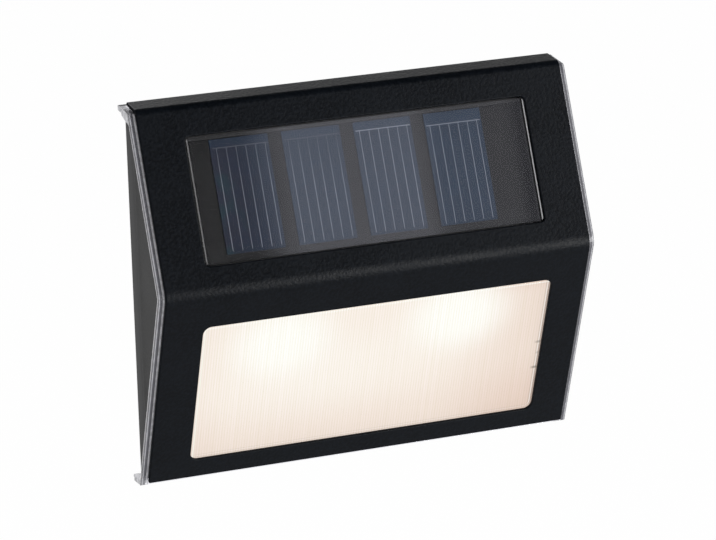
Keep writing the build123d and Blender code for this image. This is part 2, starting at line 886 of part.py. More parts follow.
# Rubber seal between the battery cover and the mouth of the well
with BuildPart() as door_seal:
    with BuildSketch(back_sketch(door_sink + door_wall)):
        with Locations((0, battery_axis_z)):
            for reach, mode in ((seal_inset + seal_width, Mode.ADD), (seal_inset, Mode.SUBTRACT)):
                RectangleRounded(2 * (well_half + reach), 2 * (well_radius + reach), reach, mode=mode)
    extrude(amount=seal)
door_seal.part.label = "door_seal"
export_step(door_seal.part, "parts/door_seal.step")

with BuildPart() as door_screws:
    for x, z in door_screws_at:
        add(self_tapper().moved(Location((x, -screw_sink, z))))
door_screws.part.label = "door_screws"
export_step(door_screws.part, "parts/door_screws.step")

# Slide switch: a hollow shell, its knob and three pins
with BuildPart() as switch_body:
    with BuildSketch(back_sketch(switch_seat)):
        with Locations((switch_x, switch_z)):
            Rectangle(switch_width, switch_height)
    extrude(amount=switch_depth)
    with BuildSketch(back_sketch(switch_seat + switch_shell)):
        with Locations((switch_x, switch_z)):
            Rectangle(switch_width - 2 * switch_shell, switch_height - 2 * switch_shell)
    extrude(amount=switch_depth - 2 * switch_shell, mode=Mode.SUBTRACT)
    with BuildSketch(back_sketch(switch_seat)):
        with Locations((switch_x, switch_z)):
            Rectangle(knob_width + knob_travel + 2 * knob_clearance, knob_height + 2 * knob_clearance)
    extrude(amount=switch_shell, mode=Mode.SUBTRACT)
switch_body.part.label = "switch_body"
export_step(switch_body.part, "parts/switch_body.step")

with BuildPart() as switch_pins:
    with BuildSketch(back_sketch(switch_front)):
        with Locations((switch_x, switch_z)):
            with GridLocations(pin_spacing, 0, 3, 1):
                Rectangle(pin_width, pin_height)
    extrude(amount=pin_length)
switch_pins.part.label = "switch_pins"
export_step(switch_pins.part, "parts/switch_pins.step")

with BuildPart() as switch_knob:
    slider_back = switch_seat + switch_shell + knob_clearance
    with BuildSketch(back_sketch(slider_back)):
        with Locations((switch_x - knob_travel / 2, switch_z)):
            Rectangle(slider_width, slider_height)
    extrude(amount=slider_depth)
    with BuildSketch(back_sketch(knob_sink)):
        with Locations((switch_x - knob_travel / 2, switch_z)):
            Rectangle(knob_width, knob_height)
    extrude(amount=slider_back - knob_sink)
    chamfer(switch_knob.edges().group_by(Axis.Y)[-1], knob_edge)
switch_knob.part.label = "switch_knob"
export_step(switch_knob.part, "parts/switch_knob.step")


def light_point(drop, depth):
    """Side view point this far down the lower face and this deep behind it."""
    return middle - lower_up * drop + lower_in * depth


def solar_point(drop, depth):
    """Side view point this far down the upper face and this deep behind it."""
    return crown - upper_up * drop + upper_in * depth


# White reflector tray behind the light window
tray_top = light_window_top - tray_margin
tray_end = light_window_top + light_window_height + tray_margin
tray_bend = tray_top + tray_floor_length
tray_half = light_window_width / 2 + tray_side
tray_floor = housing_depth + tray_depth
board_front = tray_floor + tray_wall
board_back = board_front + board
led_places = [(side * led_spacing / 2, -led_distance) for side in (-1, 1)]
post_places = [(side * post_spacing / 2, -board_drop) for side in (-1, 1)]
with BuildPart() as reflector:
    outer = [
        light_point(tray_top - tray_wall, housing_depth),
        light_point(tray_top - tray_wall, board_front),
        light_point(tray_bend, board_front),
        light_point(tray_end + tray_wall, housing_depth + tray_foot_depth + tray_wall),
        light_point(tray_end + tray_wall, housing_depth),
    ]
    extrude(side_outline(outer), amount=tray_half + tray_wall, both=True)
    inner = [
        light_point(tray_top, 0),
        light_point(tray_top, tray_floor),
        light_point(tray_bend, tray_floor),
        light_point(tray_end, housing_depth + tray_foot_depth),
        light_point(tray_end, 0),
    ]
    extrude(side_outline(inner), amount=tray_half, both=True, mode=Mode.SUBTRACT)
    with BuildSketch(lower_plane.offset(-tray_floor)):
        with Locations(*led_places):
            Rectangle(led_window_width, led_window_height)
    extrude(amount=-tray_wall, mode=Mode.SUBTRACT)
    # Posts through the light board, their ends melted over it
    with BuildSketch(lower_plane.offset(-board_front)):
        with Locations(*post_places):
            Circle(post_radius)
    extrude(amount=-board)
    with BuildSketch(lower_plane.offset(-board_back)):
        with Locations(*post_places):
            Circle(post_head)
    extrude(amount=-post_head_height)
reflector.part.label = "reflector"
export_step(reflector.part, "parts/reflector.step")

# Light board with two surface-mounted LEDs on its front
with BuildPart() as led_board:
    with BuildSketch(lower_plane.offset(-board_front)):
        with Locations((0, -board_drop)):
            Rectangle(board_length, board_height)
        with Locations(*post_places):
            Circle(post_radius + post_clearance, mode=Mode.SUBTRACT)
    extrude(amount=-board)
led_board.part.label = "led_board"
export_step(led_board.part, "parts/led_board.step")

with BuildPart() as leds:
    with BuildSketch(lower_plane.offset(-board_front)):
        with Locations(*led_places):
            Rectangle(led_width, led_height)
    extrude(amount=led_depth)
    with BuildSketch(lower_plane.offset(led_depth - board_front)):
        with Locations(*led_places):
            Circle(led_cup)
    extrude(amount=-led_cup_depth, mode=Mode.SUBTRACT)
leds.part.label = "leds"
export_step(leds.part, "parts/leds.step")

# Charging chip on the back of the board, with bent legs on both sides
with BuildPart() as driver_chip:
    with BuildSketch(lower_plane.offset(-board_back - chip_lift)):
        with Locations((chip_x, -chip_drop)):
            Rectangle(chip_length, chip_width)
    extrude(amount=-chip_height)
    leg_height = board_back + chip_lift + chip_height / 2
    for side in (-1, 1):
        body_edge = chip_drop + side * (chip_width / 2 - chip_leg_thickness)
        knee = chip_drop + side * (chip_width + chip_leg_reach) / 2
        toe = chip_drop + side * (chip_width / 2 + chip_leg_reach)
        leg = [
            light_point(body_edge, leg_height),
            light_point(knee, leg_height),
            light_point(knee, board_back),
            light_point(toe, board_back),
            light_point(toe, board_back + chip_leg_thickness),
            light_point(knee + side * chip_leg_thickness, board_back + chip_leg_thickness),
            light_point(knee + side * chip_leg_thickness, leg_height + chip_leg_thickness),
            light_point(body_edge, leg_height + chip_leg_thickness),
        ]
        for number in range(chip_legs):
            leg_x = chip_x + (number - (chip_legs - 1) / 2) * chip_leg_pitch
            with BuildSketch(Plane.YZ.offset(leg_x)):
                with BuildLine():
                    Polyline(*leg, close=True)
                make_face()
            extrude(amount=chip_leg_width / 2, both=True)
driver_chip.part.label = "driver_chip"
export_step(driver_chip.part, "parts/driver_chip.step")

# Axial choke, its wires bent down to the board
choke_axis = light_point(choke_drop, board_back + choke_radius + glue)
choke_seat = light_point(choke_drop, board_back)
with BuildPart() as choke:
    with BuildSketch(Plane.YZ.offset(choke_x - choke_length / 2)):
        with Locations((choke_axis.X, choke_axis.Y)):
            Circle(choke_radius)
    extrude(amount=choke_length)
    chamfer(choke.edges().filter_by(GeomType.CIRCLE), choke_edge)
    with BuildLine() as wire:
        FilletPolyline(
            (choke_x - choke_span / 2, choke_seat.X, choke_seat.Y),
            (choke_x - choke_span / 2, choke_axis.X, choke_axis.Y),
            (choke_x + choke_span / 2, choke_axis.X, choke_axis.Y),
            (choke_x + choke_span / 2, choke_seat.X, choke_seat.Y),
            radius=choke_bend,
        )
    with BuildSketch(wire.line ^ 0):
        RegularPolygon(choke_wire, wire_sides)
    sweep(path=wire.line)
choke.part.label = "choke"
export_step(choke.part, "parts/choke.step")

# Capacitor: a round can on a square base
with BuildPart() as capacitor:
    with BuildSketch(lower_plane.offset(-board_back)):
        with Locations((capacitor_x, -capacitor_drop)):
            RectangleRounded(2 * capacitor_radius, 2 * capacitor_radius, capacitor_corner)
    extrude(amount=-capacitor_base)
    with BuildSketch(lower_plane.offset(-board_back - capacitor_base)):
        with Locations((capacitor_x, -capacitor_drop)):
            Circle(capacitor_radius)
    extrude(amount=capacitor_base - capacitor_height)
capacitor.part.label = "capacitor"
export_step(capacitor.part, "parts/capacitor.step")

# Solar panel: tape frame, clear layer, four cells sunk in it, board
panel_front = pane_depth + tape
cell_back = panel_front + panel_resin
panel_back = cell_back + panel_board
panel_centre = -panel_top - panel_height / 2
cell_places = [
    (cell_start + number * cell_pitch + cell_width / 2, -cell_top - cell_height / 2)
    for number in range(cell_count)
]
with BuildPart() as solar_tape:
    with BuildSketch(upper_plane.offset(-pane_depth)):
        with Locations((0, panel_centre)):
            Rectangle(panel_width, panel_height)
            Rectangle(
                panel_width - 2 * panel_tape_width,
                panel_height - 2 * panel_tape_width,
                mode=Mode.SUBTRACT,
            )
    extrude(amount=-tape)
solar_tape.part.label = "solar_tape"
export_step(solar_tape.part, "parts/solar_tape.step")

with BuildPart() as solar_resin:
    with BuildSketch(upper_plane.offset(-panel_front)):
        with Locations((0, panel_centre)):
            Rectangle(panel_width, panel_height)
    extrude(amount=-panel_resin)
    with BuildSketch(upper_plane.offset(-cell_back)):
        with Locations(*cell_places):
            Rectangle(cell_width, cell_height)
    extrude(amount=cell_thickness, mode=Mode.SUBTRACT)
solar_resin.part.label = "solar_resin"
export_step(solar_resin.part, "parts/solar_resin.step")

with BuildPart() as solar_cells:
    with BuildSketch(upper_plane.offset(-cell_back)):
        with Locations(*cell_places):
            Rectangle(cell_width, cell_height)
    extrude(amount=cell_thickness)
solar_cells.part.label = "solar_cells"
export_step(solar_cells.part, "parts/solar_cells.step")

with BuildPart() as solar_board:
    with BuildSketch(upper_plane.offset(-cell_back)):
        with Locations((0, panel_centre)):
            Rectangle(panel_width, panel_height)
    extrude(amount=-panel_board)
solar_board.part.label = "solar_board"
export_step(solar_board.part, "parts/solar_board.step")

# Insulated leads, each soldered square to what it meets
board_end = light_point(lead_board_drop, board_back)
board_away = board_end + lower_in * lead_straight
panel_end = solar_point(solar_lead_drop, panel_back)
panel_away = panel_end + upper_in * lead_straight
knee_z = middle.Y - solar_lead_knee_drop
solar_routes = [
    [
        (start, panel_end.X, panel_end.Y),
        (start, panel_away.X, panel_away.Y),
        ((start + end) / 2, solar_lead_knee_y, knee_z),
        (end, board_away.X, board_away.Y),
        (end, board_end.X, board_end.Y),
    ]
    for start, end in zip(solar_lead_starts, solar_lead_ends)
]
tab_back = tab_y + contact_thickness / 2
battery_turn = crossing((board_end, lower_in), upright(battery_lead_y))
battery_routes = [
    [
        (x, tab_back, battery_axis_z),
        (x, battery_lead_y, battery_axis_z),
        (x, battery_turn.X, battery_turn.Y),
        (x, board_end.X, board_end.Y),
    ]
    for x in (-battery_lead_x, battery_lead_x)
]
near_end, far_end = switch_lead_ends
switch_lead_z = switch_z + switch_lead_rise
switch_routes = [
    [
        (switch_x - pin_spacing - pin_width / 2, switch_lead_y, switch_z),
        (near_end, switch_lead_y, switch_z),
        (near_end, board_away.X, board_away.Y),
        (near_end, board_end.X, board_end.Y),
    ],
    [
        (switch_x, switch_lead_y, switch_z + pin_height / 2),
        (switch_x, switch_lead_y, switch_lead_z),
        (far_end, switch_lead_y, switch_lead_z),
        (far_end, board_away.X, board_away.Y),
        (far_end, board_end.X, board_end.Y),
    ],
]
for name, routes in (
    ("solar_leads", solar_routes),
    ("battery_leads", battery_routes),
    ("switch_leads", switch_routes),
):
    with BuildPart() as leads:
        for route in routes:
            with BuildLine() as path:
                FilletPolyline(*route, radius=lead_bend)
            with BuildSketch(path.line ^ 0):
                RegularPolygon(lead_radius, wire_sides)
            sweep(path=path.line)
    leads.part.label = name
    export_step(leads.part, f"parts/{name}.step")
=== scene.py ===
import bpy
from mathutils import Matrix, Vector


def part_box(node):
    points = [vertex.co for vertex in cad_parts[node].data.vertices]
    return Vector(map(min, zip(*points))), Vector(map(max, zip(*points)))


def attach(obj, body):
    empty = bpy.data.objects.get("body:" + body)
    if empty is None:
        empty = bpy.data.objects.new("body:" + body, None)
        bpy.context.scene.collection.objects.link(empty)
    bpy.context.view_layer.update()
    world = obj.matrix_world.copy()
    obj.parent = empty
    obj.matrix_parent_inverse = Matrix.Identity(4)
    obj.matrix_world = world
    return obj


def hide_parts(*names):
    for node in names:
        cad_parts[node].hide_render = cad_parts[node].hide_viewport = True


bl_info = {
    "name": "Solar Step Light",
    "version": (1, 0, 0),
    "blender": (4, 5, 0),
    "location": "View3D > Sidebar > Step Light",
    "description": "Dresses a solar step light in its finished pieces and materials",
    "category": "Object",
}

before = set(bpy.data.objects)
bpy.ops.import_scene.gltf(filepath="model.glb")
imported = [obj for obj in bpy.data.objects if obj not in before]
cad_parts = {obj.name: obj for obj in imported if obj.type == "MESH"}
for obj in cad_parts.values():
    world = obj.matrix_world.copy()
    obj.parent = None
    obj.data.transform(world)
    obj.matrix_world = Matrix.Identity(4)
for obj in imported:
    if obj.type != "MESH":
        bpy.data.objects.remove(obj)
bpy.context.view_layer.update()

import math
from collections import namedtuple

import bmesh
import bpy
from bpy.props import FloatProperty, FloatVectorProperty, PointerProperty
from mathutils import Matrix, Vector

MM = 0.001


def length(name, description, millimetres):
    default = millimetres * MM
    return FloatProperty(name=name, description=description, default=default, unit="LENGTH", precision=5)


def tilt(name, description, degrees):
    default = math.radians(degrees)
    return FloatProperty(name=name, description=description, default=default, subtype="ANGLE")


def colour(name, description, value):
    return FloatVectorProperty(name=name, description=description, default=value, subtype="COLOR", size=3)


# Sizes and colours that a user would change


class StepLightSizes(bpy.types.PropertyGroup):
    cover_width: length("Cover Width", "Width of the folded metal cover", 119.4)
    upper_length: length("Upper Length", "From the crown fold to the middle fold, along the face", 49.2)
    lower_length: length("Lower Length", "From the middle fold to the lower edge, along the face", 58.2)
    lip_length: length("Lip Length", "From the crown fold to the rear edge of the top lip", 7.12)
    wall_distance: length("Wall Distance", "From the wall to the lower edge of the cover", 7.5)
    upper_tilt: tilt("Upper Tilt", "How far the upper face leans back from upright", 21.3)
    lower_tilt: tilt("Lower Tilt", "How far the lower face leans forward from upright", 20.2)
    lip_rise: tilt("Lip Rise", "How far the top lip rises towards the wall", 7.42)
    sheet: length("Sheet", "Thickness of the cover's steel sheet", 1.0)
    middle_bend: length("Middle Bend", "Outer radius of the middle fold", 6.3)
    crown_bend: length("Crown Bend", "Outer radius of the crown fold", 2.4)
    cover_edge: length("Cover Edge", "Rounding that the powder coat leaves on the cover's cut edges", 0.28)
    solar_width: length("Solar Window Width", "Width of the upper window", 95.8)
    solar_height: length("Solar Window Height", "Height of the upper window, along the face", 33.85)
    solar_top: length("Solar Window Top", "From the crown fold to the upper window", 8.1)
    solar_corner: length("Solar Window Corner", "Corner radius of the upper window", 1.4)
    light_width: length("Light Window Width", "Width of the lower window", 98.6)
    light_height: length("Light Window Height", "Height of the lower window, along the face", 42.45)
    light_top: length("Light Window Top", "From the middle fold to the lower window", 10.28)
    light_shift: length("Light Window Shift", "How far the lower window lies right of the middle", 0.63)
    light_corner: length("Light Window Corner", "Corner radius of the lower window", 2.2)
    tape: length("Tape", "Thickness of the tape under the cover and over the panel", 0.2)
    lens_wall: length("Clear Wall", "Thickness of the clear moulding behind the cover", 2.0)
    lens_edge: length("Clear Edge", "Rounding on the edges of the clear moulding", 0.25)
    flange_overhang: length("Flange Overhang", "How far the clear flange stands out past the cover", 1.7)
    flange_edge: length("Flange Edge", "Thickness of the clear flange where it stands out", 1.0)
    return_wall: length("Return Wall", "Thickness of the clear moulding's top and bottom returns", 1.25)
    return_drop: length("Return Drop", "How far the bottom return lies below the cover", 0.8)
    return_gap: length("Return Gap", "From the wall to the rear end of the returns", 0.8)
    gusset: length("Gusset", "Thickness of the flange's corner gussets", 1.3)
    gusset_reach: length("Gusset Reach", "How far a corner gusset runs along a return", 5.0)
    gusset_rise: length("Gusset Rise", "How far a corner gusset runs along the flange", 1.5)
    pane_gap: length("Pane Gap", "Gap between a clear pane and its window", 0.35)
    pane_recess: length("Pane Recess", "How far a clear pane lies below the cover's face", 0.3)
    pane_rim: length("Pane Rim", "How far a pane reaches behind the cover round its window", 2.6)
    flute_pitch: length("Flute Pitch", "Width of one flute on the inside of the light pane", 0.75)
    flute_height: length("Flute Height", "Height of one flute", 0.15)
    finger_pitch: length("Finger Pitch", "Distance between the printed fingers of a solar cell", 2.69)
    finger_width: length("Finger Width", "Width of a printed finger", 0.105)
    rim_reach: length("Housing Rim", "How far the housing's rear rim stands out from its side walls", 0.75)
    rim_length: length("Housing Rim Length", "How far the rear rim runs forward from the rear edge", 4.4)
    led_spacing: length("Lamp Spacing", "Distance between the two LEDs", 50.0)
    led_drop: length("Lamp Drop", "From the middle fold down to the LEDs, along the face", 20.5)


class StepLightColours(bpy.types.PropertyGroup):
    coat: colour("Powder Coat", "Colour of the cover's powder coat", (0.0022, 0.0032, 0.005))
    housing: colour("Housing", "Colour of the moulded housing", (0.037, 0.037, 0.0375))
    back: colour("Back Plate", "Colour of the back plate and battery cover", (0.017, 0.0172, 0.018))
    clear: colour("Clear Plastic", "Tint of the clear moulding", (0.9, 0.895, 0.94))
    clear_edge: colour("Clear Edge", "Milky colour of the clear moulding's cut ends", (0.075, 0.075, 0.088))
    # Colour of the painted highlight lines along the clear moulding's corners
    clear_line: colour("Clear Line", "Bright lines along the clear moulding's corners", (0.8, 0.8, 0.84))
    laminate: colour("Laminate", "Colour of the panel between the cells", (0.009, 0.0092, 0.0095))
    cell: colour("Cell", "Main colour of the solar cells", (0.013, 0.018, 0.036))
    cell_shade: colour("Cell Shade", "Second colour in the crystals of the cells", (0.014, 0.017, 0.031))
    cell_teal: colour("Cell Teal", "Greenish tint in parts of the cells", (0.011, 0.025, 0.037))
    cell_bloom: colour("Cell Bloom", "Colour of the cells right of the first one", (0.0135, 0.0275, 0.0525))
    # Haze: colour of the solar pane's milky veil, which also carries its painted reflection
    haze: colour("Haze", "Milky scattering of the clear pane in front of the panel", (0.66, 0.67, 0.76))
    finger: colour("Finger", "Colour of the printed fingers", (0.33, 0.36, 0.42))
    glow: colour("Glow", "Colour of the lit pane away from the LEDs", (0.92, 0.845, 0.785))
    glow_edge: colour("Glow Edge", "Colour of the lit pane at its edges", (0.765, 0.605, 0.53))
    glow_spot: colour("Glow Spot", "Colour of the lit pane in front of an LED", (0.98, 0.98, 0.95))
    floor: colour("Floor", "Colour of the floor", (0.86, 0.86, 0.86))


# Shader graphs


class Signal:
    """One output socket of a shader graph, on which Python's arithmetic adds Math nodes."""

    def __init__(self, graph, socket):
        self.graph = graph
        self.socket = socket

    def maths(self, operation, *others):
        return self.graph.maths(operation, self, *others)

    def __add__(self, other):
        return self.maths("ADD", other)

    def __radd__(self, other):
        return self.maths("ADD", other)

    def __sub__(self, other):
        return self.maths("SUBTRACT", other)

    def __rsub__(self, other):
        return self.graph.maths("SUBTRACT", other, self)

    def __mul__(self, other):
        return self.maths("MULTIPLY", other)

    def __rmul__(self, other):
        return self.maths("MULTIPLY", other)

    def __truediv__(self, other):
        return self.maths("DIVIDE", other)

    def __pow__(self, other):
        return self.maths("POWER", other)

    def __abs__(self):
        return self.maths("ABSOLUTE")


class Graph:
    """The node tree of a new material or world, with one method that adds any node."""

    def __init__(self, name, owner=None):
        self.owner = owner or bpy.data.materials.new(name)
        self.owner.use_nodes = True
        self.tree = self.owner.node_tree
        self.tree.nodes.clear()

    def node(self, kind, settings=None, inputs=None, output=0):
        """A new node: its settings are set first, then the values or links of its sockets."""
        made = self.tree.nodes.new(kind)
        for name, value in (settings or {}).items():
            setattr(made, name, value)
        for name, value in (inputs or {}).items():
            if isinstance(value, Signal):
                self.tree.links.new(value.socket, made.inputs[name])
            else:
                made.inputs[name].default_value = value
        return Signal(self, made.outputs[output])

    def maths(self, operation, *values):
        return self.node("ShaderNodeMath", {"operation": operation}, dict(enumerate(values)))

    def parts(self, vector):
        """X, Y and Z of a vector."""
        split = self.node("ShaderNodeSeparateXYZ", {}, {0: vector}).socket.node
        return [Signal(self, split.outputs[axis]) for axis in "XYZ"]

    def place(self):
        """Where a point lies on the resting object, in metres: as a vector, and as X, Y and Z."""
        where = self.node("ShaderNodeTexCoord", output="Object")
        return where, self.parts(where)

    def noise(self, where, size, detail=2.0, roughness=0.5):
        """Noise from 0 to 1 whose features are about this large, in metres."""
        inputs = {"Vector": where, "Scale": 1 / size, "Detail": detail, "Roughness": roughness}
        return self.node("ShaderNodeTexNoise", {}, inputs)

    def ramp(self, value, low, high, start=0.0, end=1.0):
        """Smooth step of the value, from start at low to end at high."""
        inputs = {"Value": value, "From Min": low, "From Max": high, "To Min": start, "To Max": end}
        return self.node("ShaderNodeMapRange", {"interpolation_type": "SMOOTHSTEP"}, inputs)

    def blend(self, factor, first, second, mode="MIX"):
        """Two colours mixed by a factor."""
        settings = {"data_type": "RGBA", "blend_type": mode}
        inputs = {"Factor": factor, 6: rgba(first), 7: rgba(second)}
        return self.node("ShaderNodeMix", settings, inputs, output=2)

    def tones(self, noise, low, high, shade, first, second, weight=1.0):
        """A colour that goes from one strength of itself to another as the noise goes from low to high."""
        return self.blend(self.ramp(noise, low, high) * weight, scaled(shade, first), scaled(shade, second))

    def bump(self, height, distance):
        return self.node("ShaderNodeBump", {}, {"Height": height, "Distance": distance})

    def surface(self, **inputs):
        """A Principled shader, its sockets named with underscores for spaces."""
        named = {name.replace("_", " "): rgba(value) for name, value in inputs.items()}
        return self.node("ShaderNodeBsdfPrincipled", {}, named)

    def mixed(self, factor, first, second):
        """Two shaders mixed by a factor."""
        return self.node("ShaderNodeMixShader", {}, {0: factor, 1: first, 2: second})

    def finish(self, shader, kind="ShaderNodeOutputMaterial"):
        """The material or world, with this shader as its surface."""
        out = self.tree.nodes.new(kind)
        self.tree.links.new(shader.socket, out.inputs["Surface"])
        return self.owner

    def coated(self, **inputs):
        """The material, with one Principled shader as its surface."""
        return self.finish(self.surface(**inputs))


def rgba(value):
    """A colour of three numbers with full opacity added, or the value itself."""
    if isinstance(value, (Signal, float, int)):
        return value
    return (*value, 1.0) if len(value) == 3 else tuple(value)


def scaled(shade, factor):
    """A colour made darker or paler by a factor."""
    return tuple(part * factor for part in shade)


# Side view of the folded cover, as (y, z) in metres


class SideView:
    """The cover's fold, from which every piece behind it takes its place."""

    def __init__(self, sizes):
        lower, upper, rise = sizes.lower_tilt, sizes.upper_tilt, sizes.lip_rise
        self.lower_up = Vector((-math.sin(lower), math.cos(lower)))
        self.lower_in = Vector((math.cos(lower), math.sin(lower)))
        self.upper_up = Vector((math.sin(upper), math.cos(upper)))
        self.upper_in = Vector((math.cos(upper), -math.sin(upper)))
        self.lip_back = Vector((math.cos(rise), math.sin(rise)))
        self.lip_in = Vector((math.sin(rise), -math.cos(rise)))
        self.foot = Vector((-sizes.wall_distance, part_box("front_cover")[0].z))
        self.middle = self.foot + self.lower_up * sizes.lower_length
        self.crown = self.middle + self.upper_up * sizes.upper_length
        self.lip_end = self.crown + self.lip_back * sizes.lip_length

    def lower(self, depth):
        return self.foot + self.lower_in * depth, self.lower_up

    def upper(self, depth):
        return self.crown + self.upper_in * depth, self.upper_up

    def lip(self, depth):
        return self.crown + self.lip_in * depth, self.lip_back

    def lower_point(self, drop, depth):
        return self.middle - self.lower_up * drop + self.lower_in * depth

    def upper_point(self, drop, depth):
        return self.crown - self.upper_up * drop + self.upper_in * depth

    def lower_drop(self, y, z):
        """How far a point lies below the middle fold, along the lower face."""
        return (self.middle.x - y) * self.lower_up.x + (self.middle.y - z) * self.lower_up.y

    def upper_drop(self, y, z):
        """How far a point lies below the crown fold, along the upper face."""
        return (self.crown.x - y) * self.upper_up.x + (self.crown.y - z) * self.upper_up.y

    def lower_depth(self, y, z):
        """How deep a point lies behind the lower face."""
        return (y - self.foot.x) * self.lower_in.x + (z - self.foot.y) * self.lower_in.y

    def upper_depth(self, y, z):
        """How deep a point lies behind the upper face."""
        return (y - self.crown.x) * self.upper_in.x + (z - self.crown.y) * self.upper_in.y

    def shader_depth(self, y, z):
        """How deep a shaded point lies behind the nearer of the two faces."""
        return self.lower_depth(y, z).maths("MINIMUM", self.upper_depth(y, z))

    def lower_frame(self, depth):
        """Matrix whose X runs right, Y down the lower face and Z into the object."""
        return face_frame(self.middle + self.lower_in * depth, self.lower_up, self.lower_in)

    def upper_frame(self, depth):
        """Matrix whose X runs right, Y down the upper face and Z into the object."""
        return face_frame(self.crown + self.upper_in * depth, self.upper_up, self.upper_in)


def face_frame(origin, up, inwards):
    down = Vector((0, -up.x, -up.y))
    into = Vector((0, inwards.x, inwards.y))
    right = Vector((1, 0, 0))
    turn = Matrix((right, down, into)).transposed().to_4x4()
    return Matrix.Translation((0, origin.x, origin.y)) @ turn


def level(height):
    return Vector((0, height)), Vector((1, 0))


def upright(distance):
    return Vector((distance, 0)), Vector((0, 1))


def crossing(first, second):
    """Point where two lines of the side view meet."""
    point, along = first
    other, across = second
    gap = other - point
    part = gap.cross(across) / along.cross(across)
    return point + along * part


def rounded(corners, radii, steps=10):
    """The corners of a closed outline, each turned into an arc of its own radius."""
    outline = []
    for index, (corner, radius) in enumerate(zip(corners, radii)):
        if not radius:
            outline.append(corner.copy())
            continue
        before = (corners[index - 1] - corner).normalized()
        after = (corners[(index + 1) % len(corners)] - corner).normalized()
        half = before.angle(after) / 2
        centre = corner + (before + after).normalized() * radius / math.sin(half)
        first = corner + before * radius / math.tan(half) - centre
        turn = first.angle_signed(corner + after * radius / math.tan(half) - centre)
        for step in range(steps + 1):
            angle = -turn * step / steps
            spun = Matrix.Rotation(angle, 2) @ first
            outline.append(centre + spun)
    return outline


# Mesh helpers, with the place of an outline that lies in the side view and is pulled along X

SIDE_VIEW = Matrix(((0, 0, 1, 0), (1, 0, 0, 0), (0, 1, 0, 0), (0, 0, 0, 1)))


def piece_from(mesh_builder, name):
    """A new object from a bmesh, linked to the scene."""
    mesh = bpy.data.meshes.new(name)
    bmesh.ops.recalc_face_normals(mesh_builder, faces=mesh_builder.faces)
    mesh_builder.to_mesh(mesh)
    mesh_builder.free()
    piece = bpy.data.objects.new(name, mesh)
    bpy.context.scene.collection.objects.link(piece)
    return piece


def bridge(solid, ring, other):
    """A band of faces between two closed rings, either of which may shrink to one point."""
    for index in range(len(ring)):
        following = (index + 1) % len(ring)
        corners = (ring[index], ring[following], other[following], other[index])
        solid.faces.new(list(dict.fromkeys(corners)))


def plate(outline, place, bottom, top):
    """A closed outline pulled from bottom to top along the Z of its place."""
    solid = bmesh.new()
    ends = []
    for height in (bottom, top):
        ends.append([solid.verts.new(place @ Vector((p.x, p.y, height))) for p in outline])
    bridge(solid, *ends)
    for end in ends:
        solid.faces.new(end)
    return solid


def prism(outline, start, end):
    """A closed outline of the side view pulled along X from start to end."""
    return plate(outline, SIDE_VIEW, start, end)


def circle(radius, steps, height):
    """Points round the Z axis at this height."""
    turns = [2 * math.pi * step / steps for step in range(steps)]
    return [Vector((radius * math.cos(turn), radius * math.sin(turn), height)) for turn in turns]


def turned(profile, place, steps):
    """A lathe form: (radius, height) pairs turned round the Z of its place."""
    solid = bmesh.new()
    rings = []
    for radius, height in profile:
        if radius:
            rings.append([solid.verts.new(place @ point) for point in circle(radius, steps, height)])
        else:
            rings.append([solid.verts.new(place @ Vector((0, 0, height)))] * steps)
    for lower, upper in zip(rings, rings[1:]):
        bridge(solid, lower, upper)
    return solid


def rounded_rectangle(width, height, corner, centre=(0.0, 0.0), steps=8):
    """A closed outline in the plane, its corners arcs."""
    points = []
    for number, (side_x, side_y) in enumerate(((1, 1), (-1, 1), (-1, -1), (1, -1))):
        middle_x = centre[0] + side_x * (width / 2 - corner)
        middle_y = centre[1] + side_y * (height / 2 - corner)
        for step in range(steps + 1):
            angle = math.pi / 2 * (number + step / steps)
            points.append(Vector((middle_x + corner * math.cos(angle), middle_y + corner * math.sin(angle))))
    return points


def carve(piece, builders, operation="DIFFERENCE"):
    """Cuts the bmesh solids out of the piece, or joins them to it."""
    for number, builder in enumerate(builders):
        tool = piece_from(builder, f"{piece.name}_tool_{number}")
        change = piece.modifiers.new("carve", "BOOLEAN")
        change.operation = operation
        change.solver = "EXACT"
        change.object = tool
        bpy.context.view_layer.update()
        shaped = bpy.data.meshes.new_from_object(piece.evaluated_get(bpy.context.evaluated_depsgraph_get()))
        piece.modifiers.clear()
        old = piece.data
        piece.data = shaped
        bpy.data.meshes.remove(old)
        tool_mesh = tool.data
        bpy.data.objects.remove(tool)
        bpy.data.meshes.remove(tool_mesh)
    piece.data.name = piece.name


def soften(piece, width, segments=3, angle=30.0):
    """Rounds the sharp edges and shades the rest smooth."""
    for polygon in piece.data.polygons:
        polygon.use_smooth = True
    edge = piece.modifiers.new("edges", "BEVEL")
    edge.width = width
    edge.segments = segments
    edge.limit_method = "ANGLE"
    edge.angle_limit = math.radians(angle)
    edge.use_clamp_overlap = True
    edge.harden_normals = False
    normals = piece.modifiers.new("normals", "WEIGHTED_NORMAL")
    normals.keep_sharp = True
    normals.weight = 100


def settle(piece, body, material, replaced=()):
    """Gives the piece its material, ties it to its body and hides the CAD nodes that it replaces."""
    piece.data.materials.clear()
    piece.data.materials.append(material)
    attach(piece, body)
    if replaced:
        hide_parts(*replaced)
    return piece


def dress(node, material):
    """Puts a finish on a CAD node that keeps its shape."""
    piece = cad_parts[node]
    piece.data.materials.clear()
    piece.data.materials.append(material)
    return piece


# Finishes


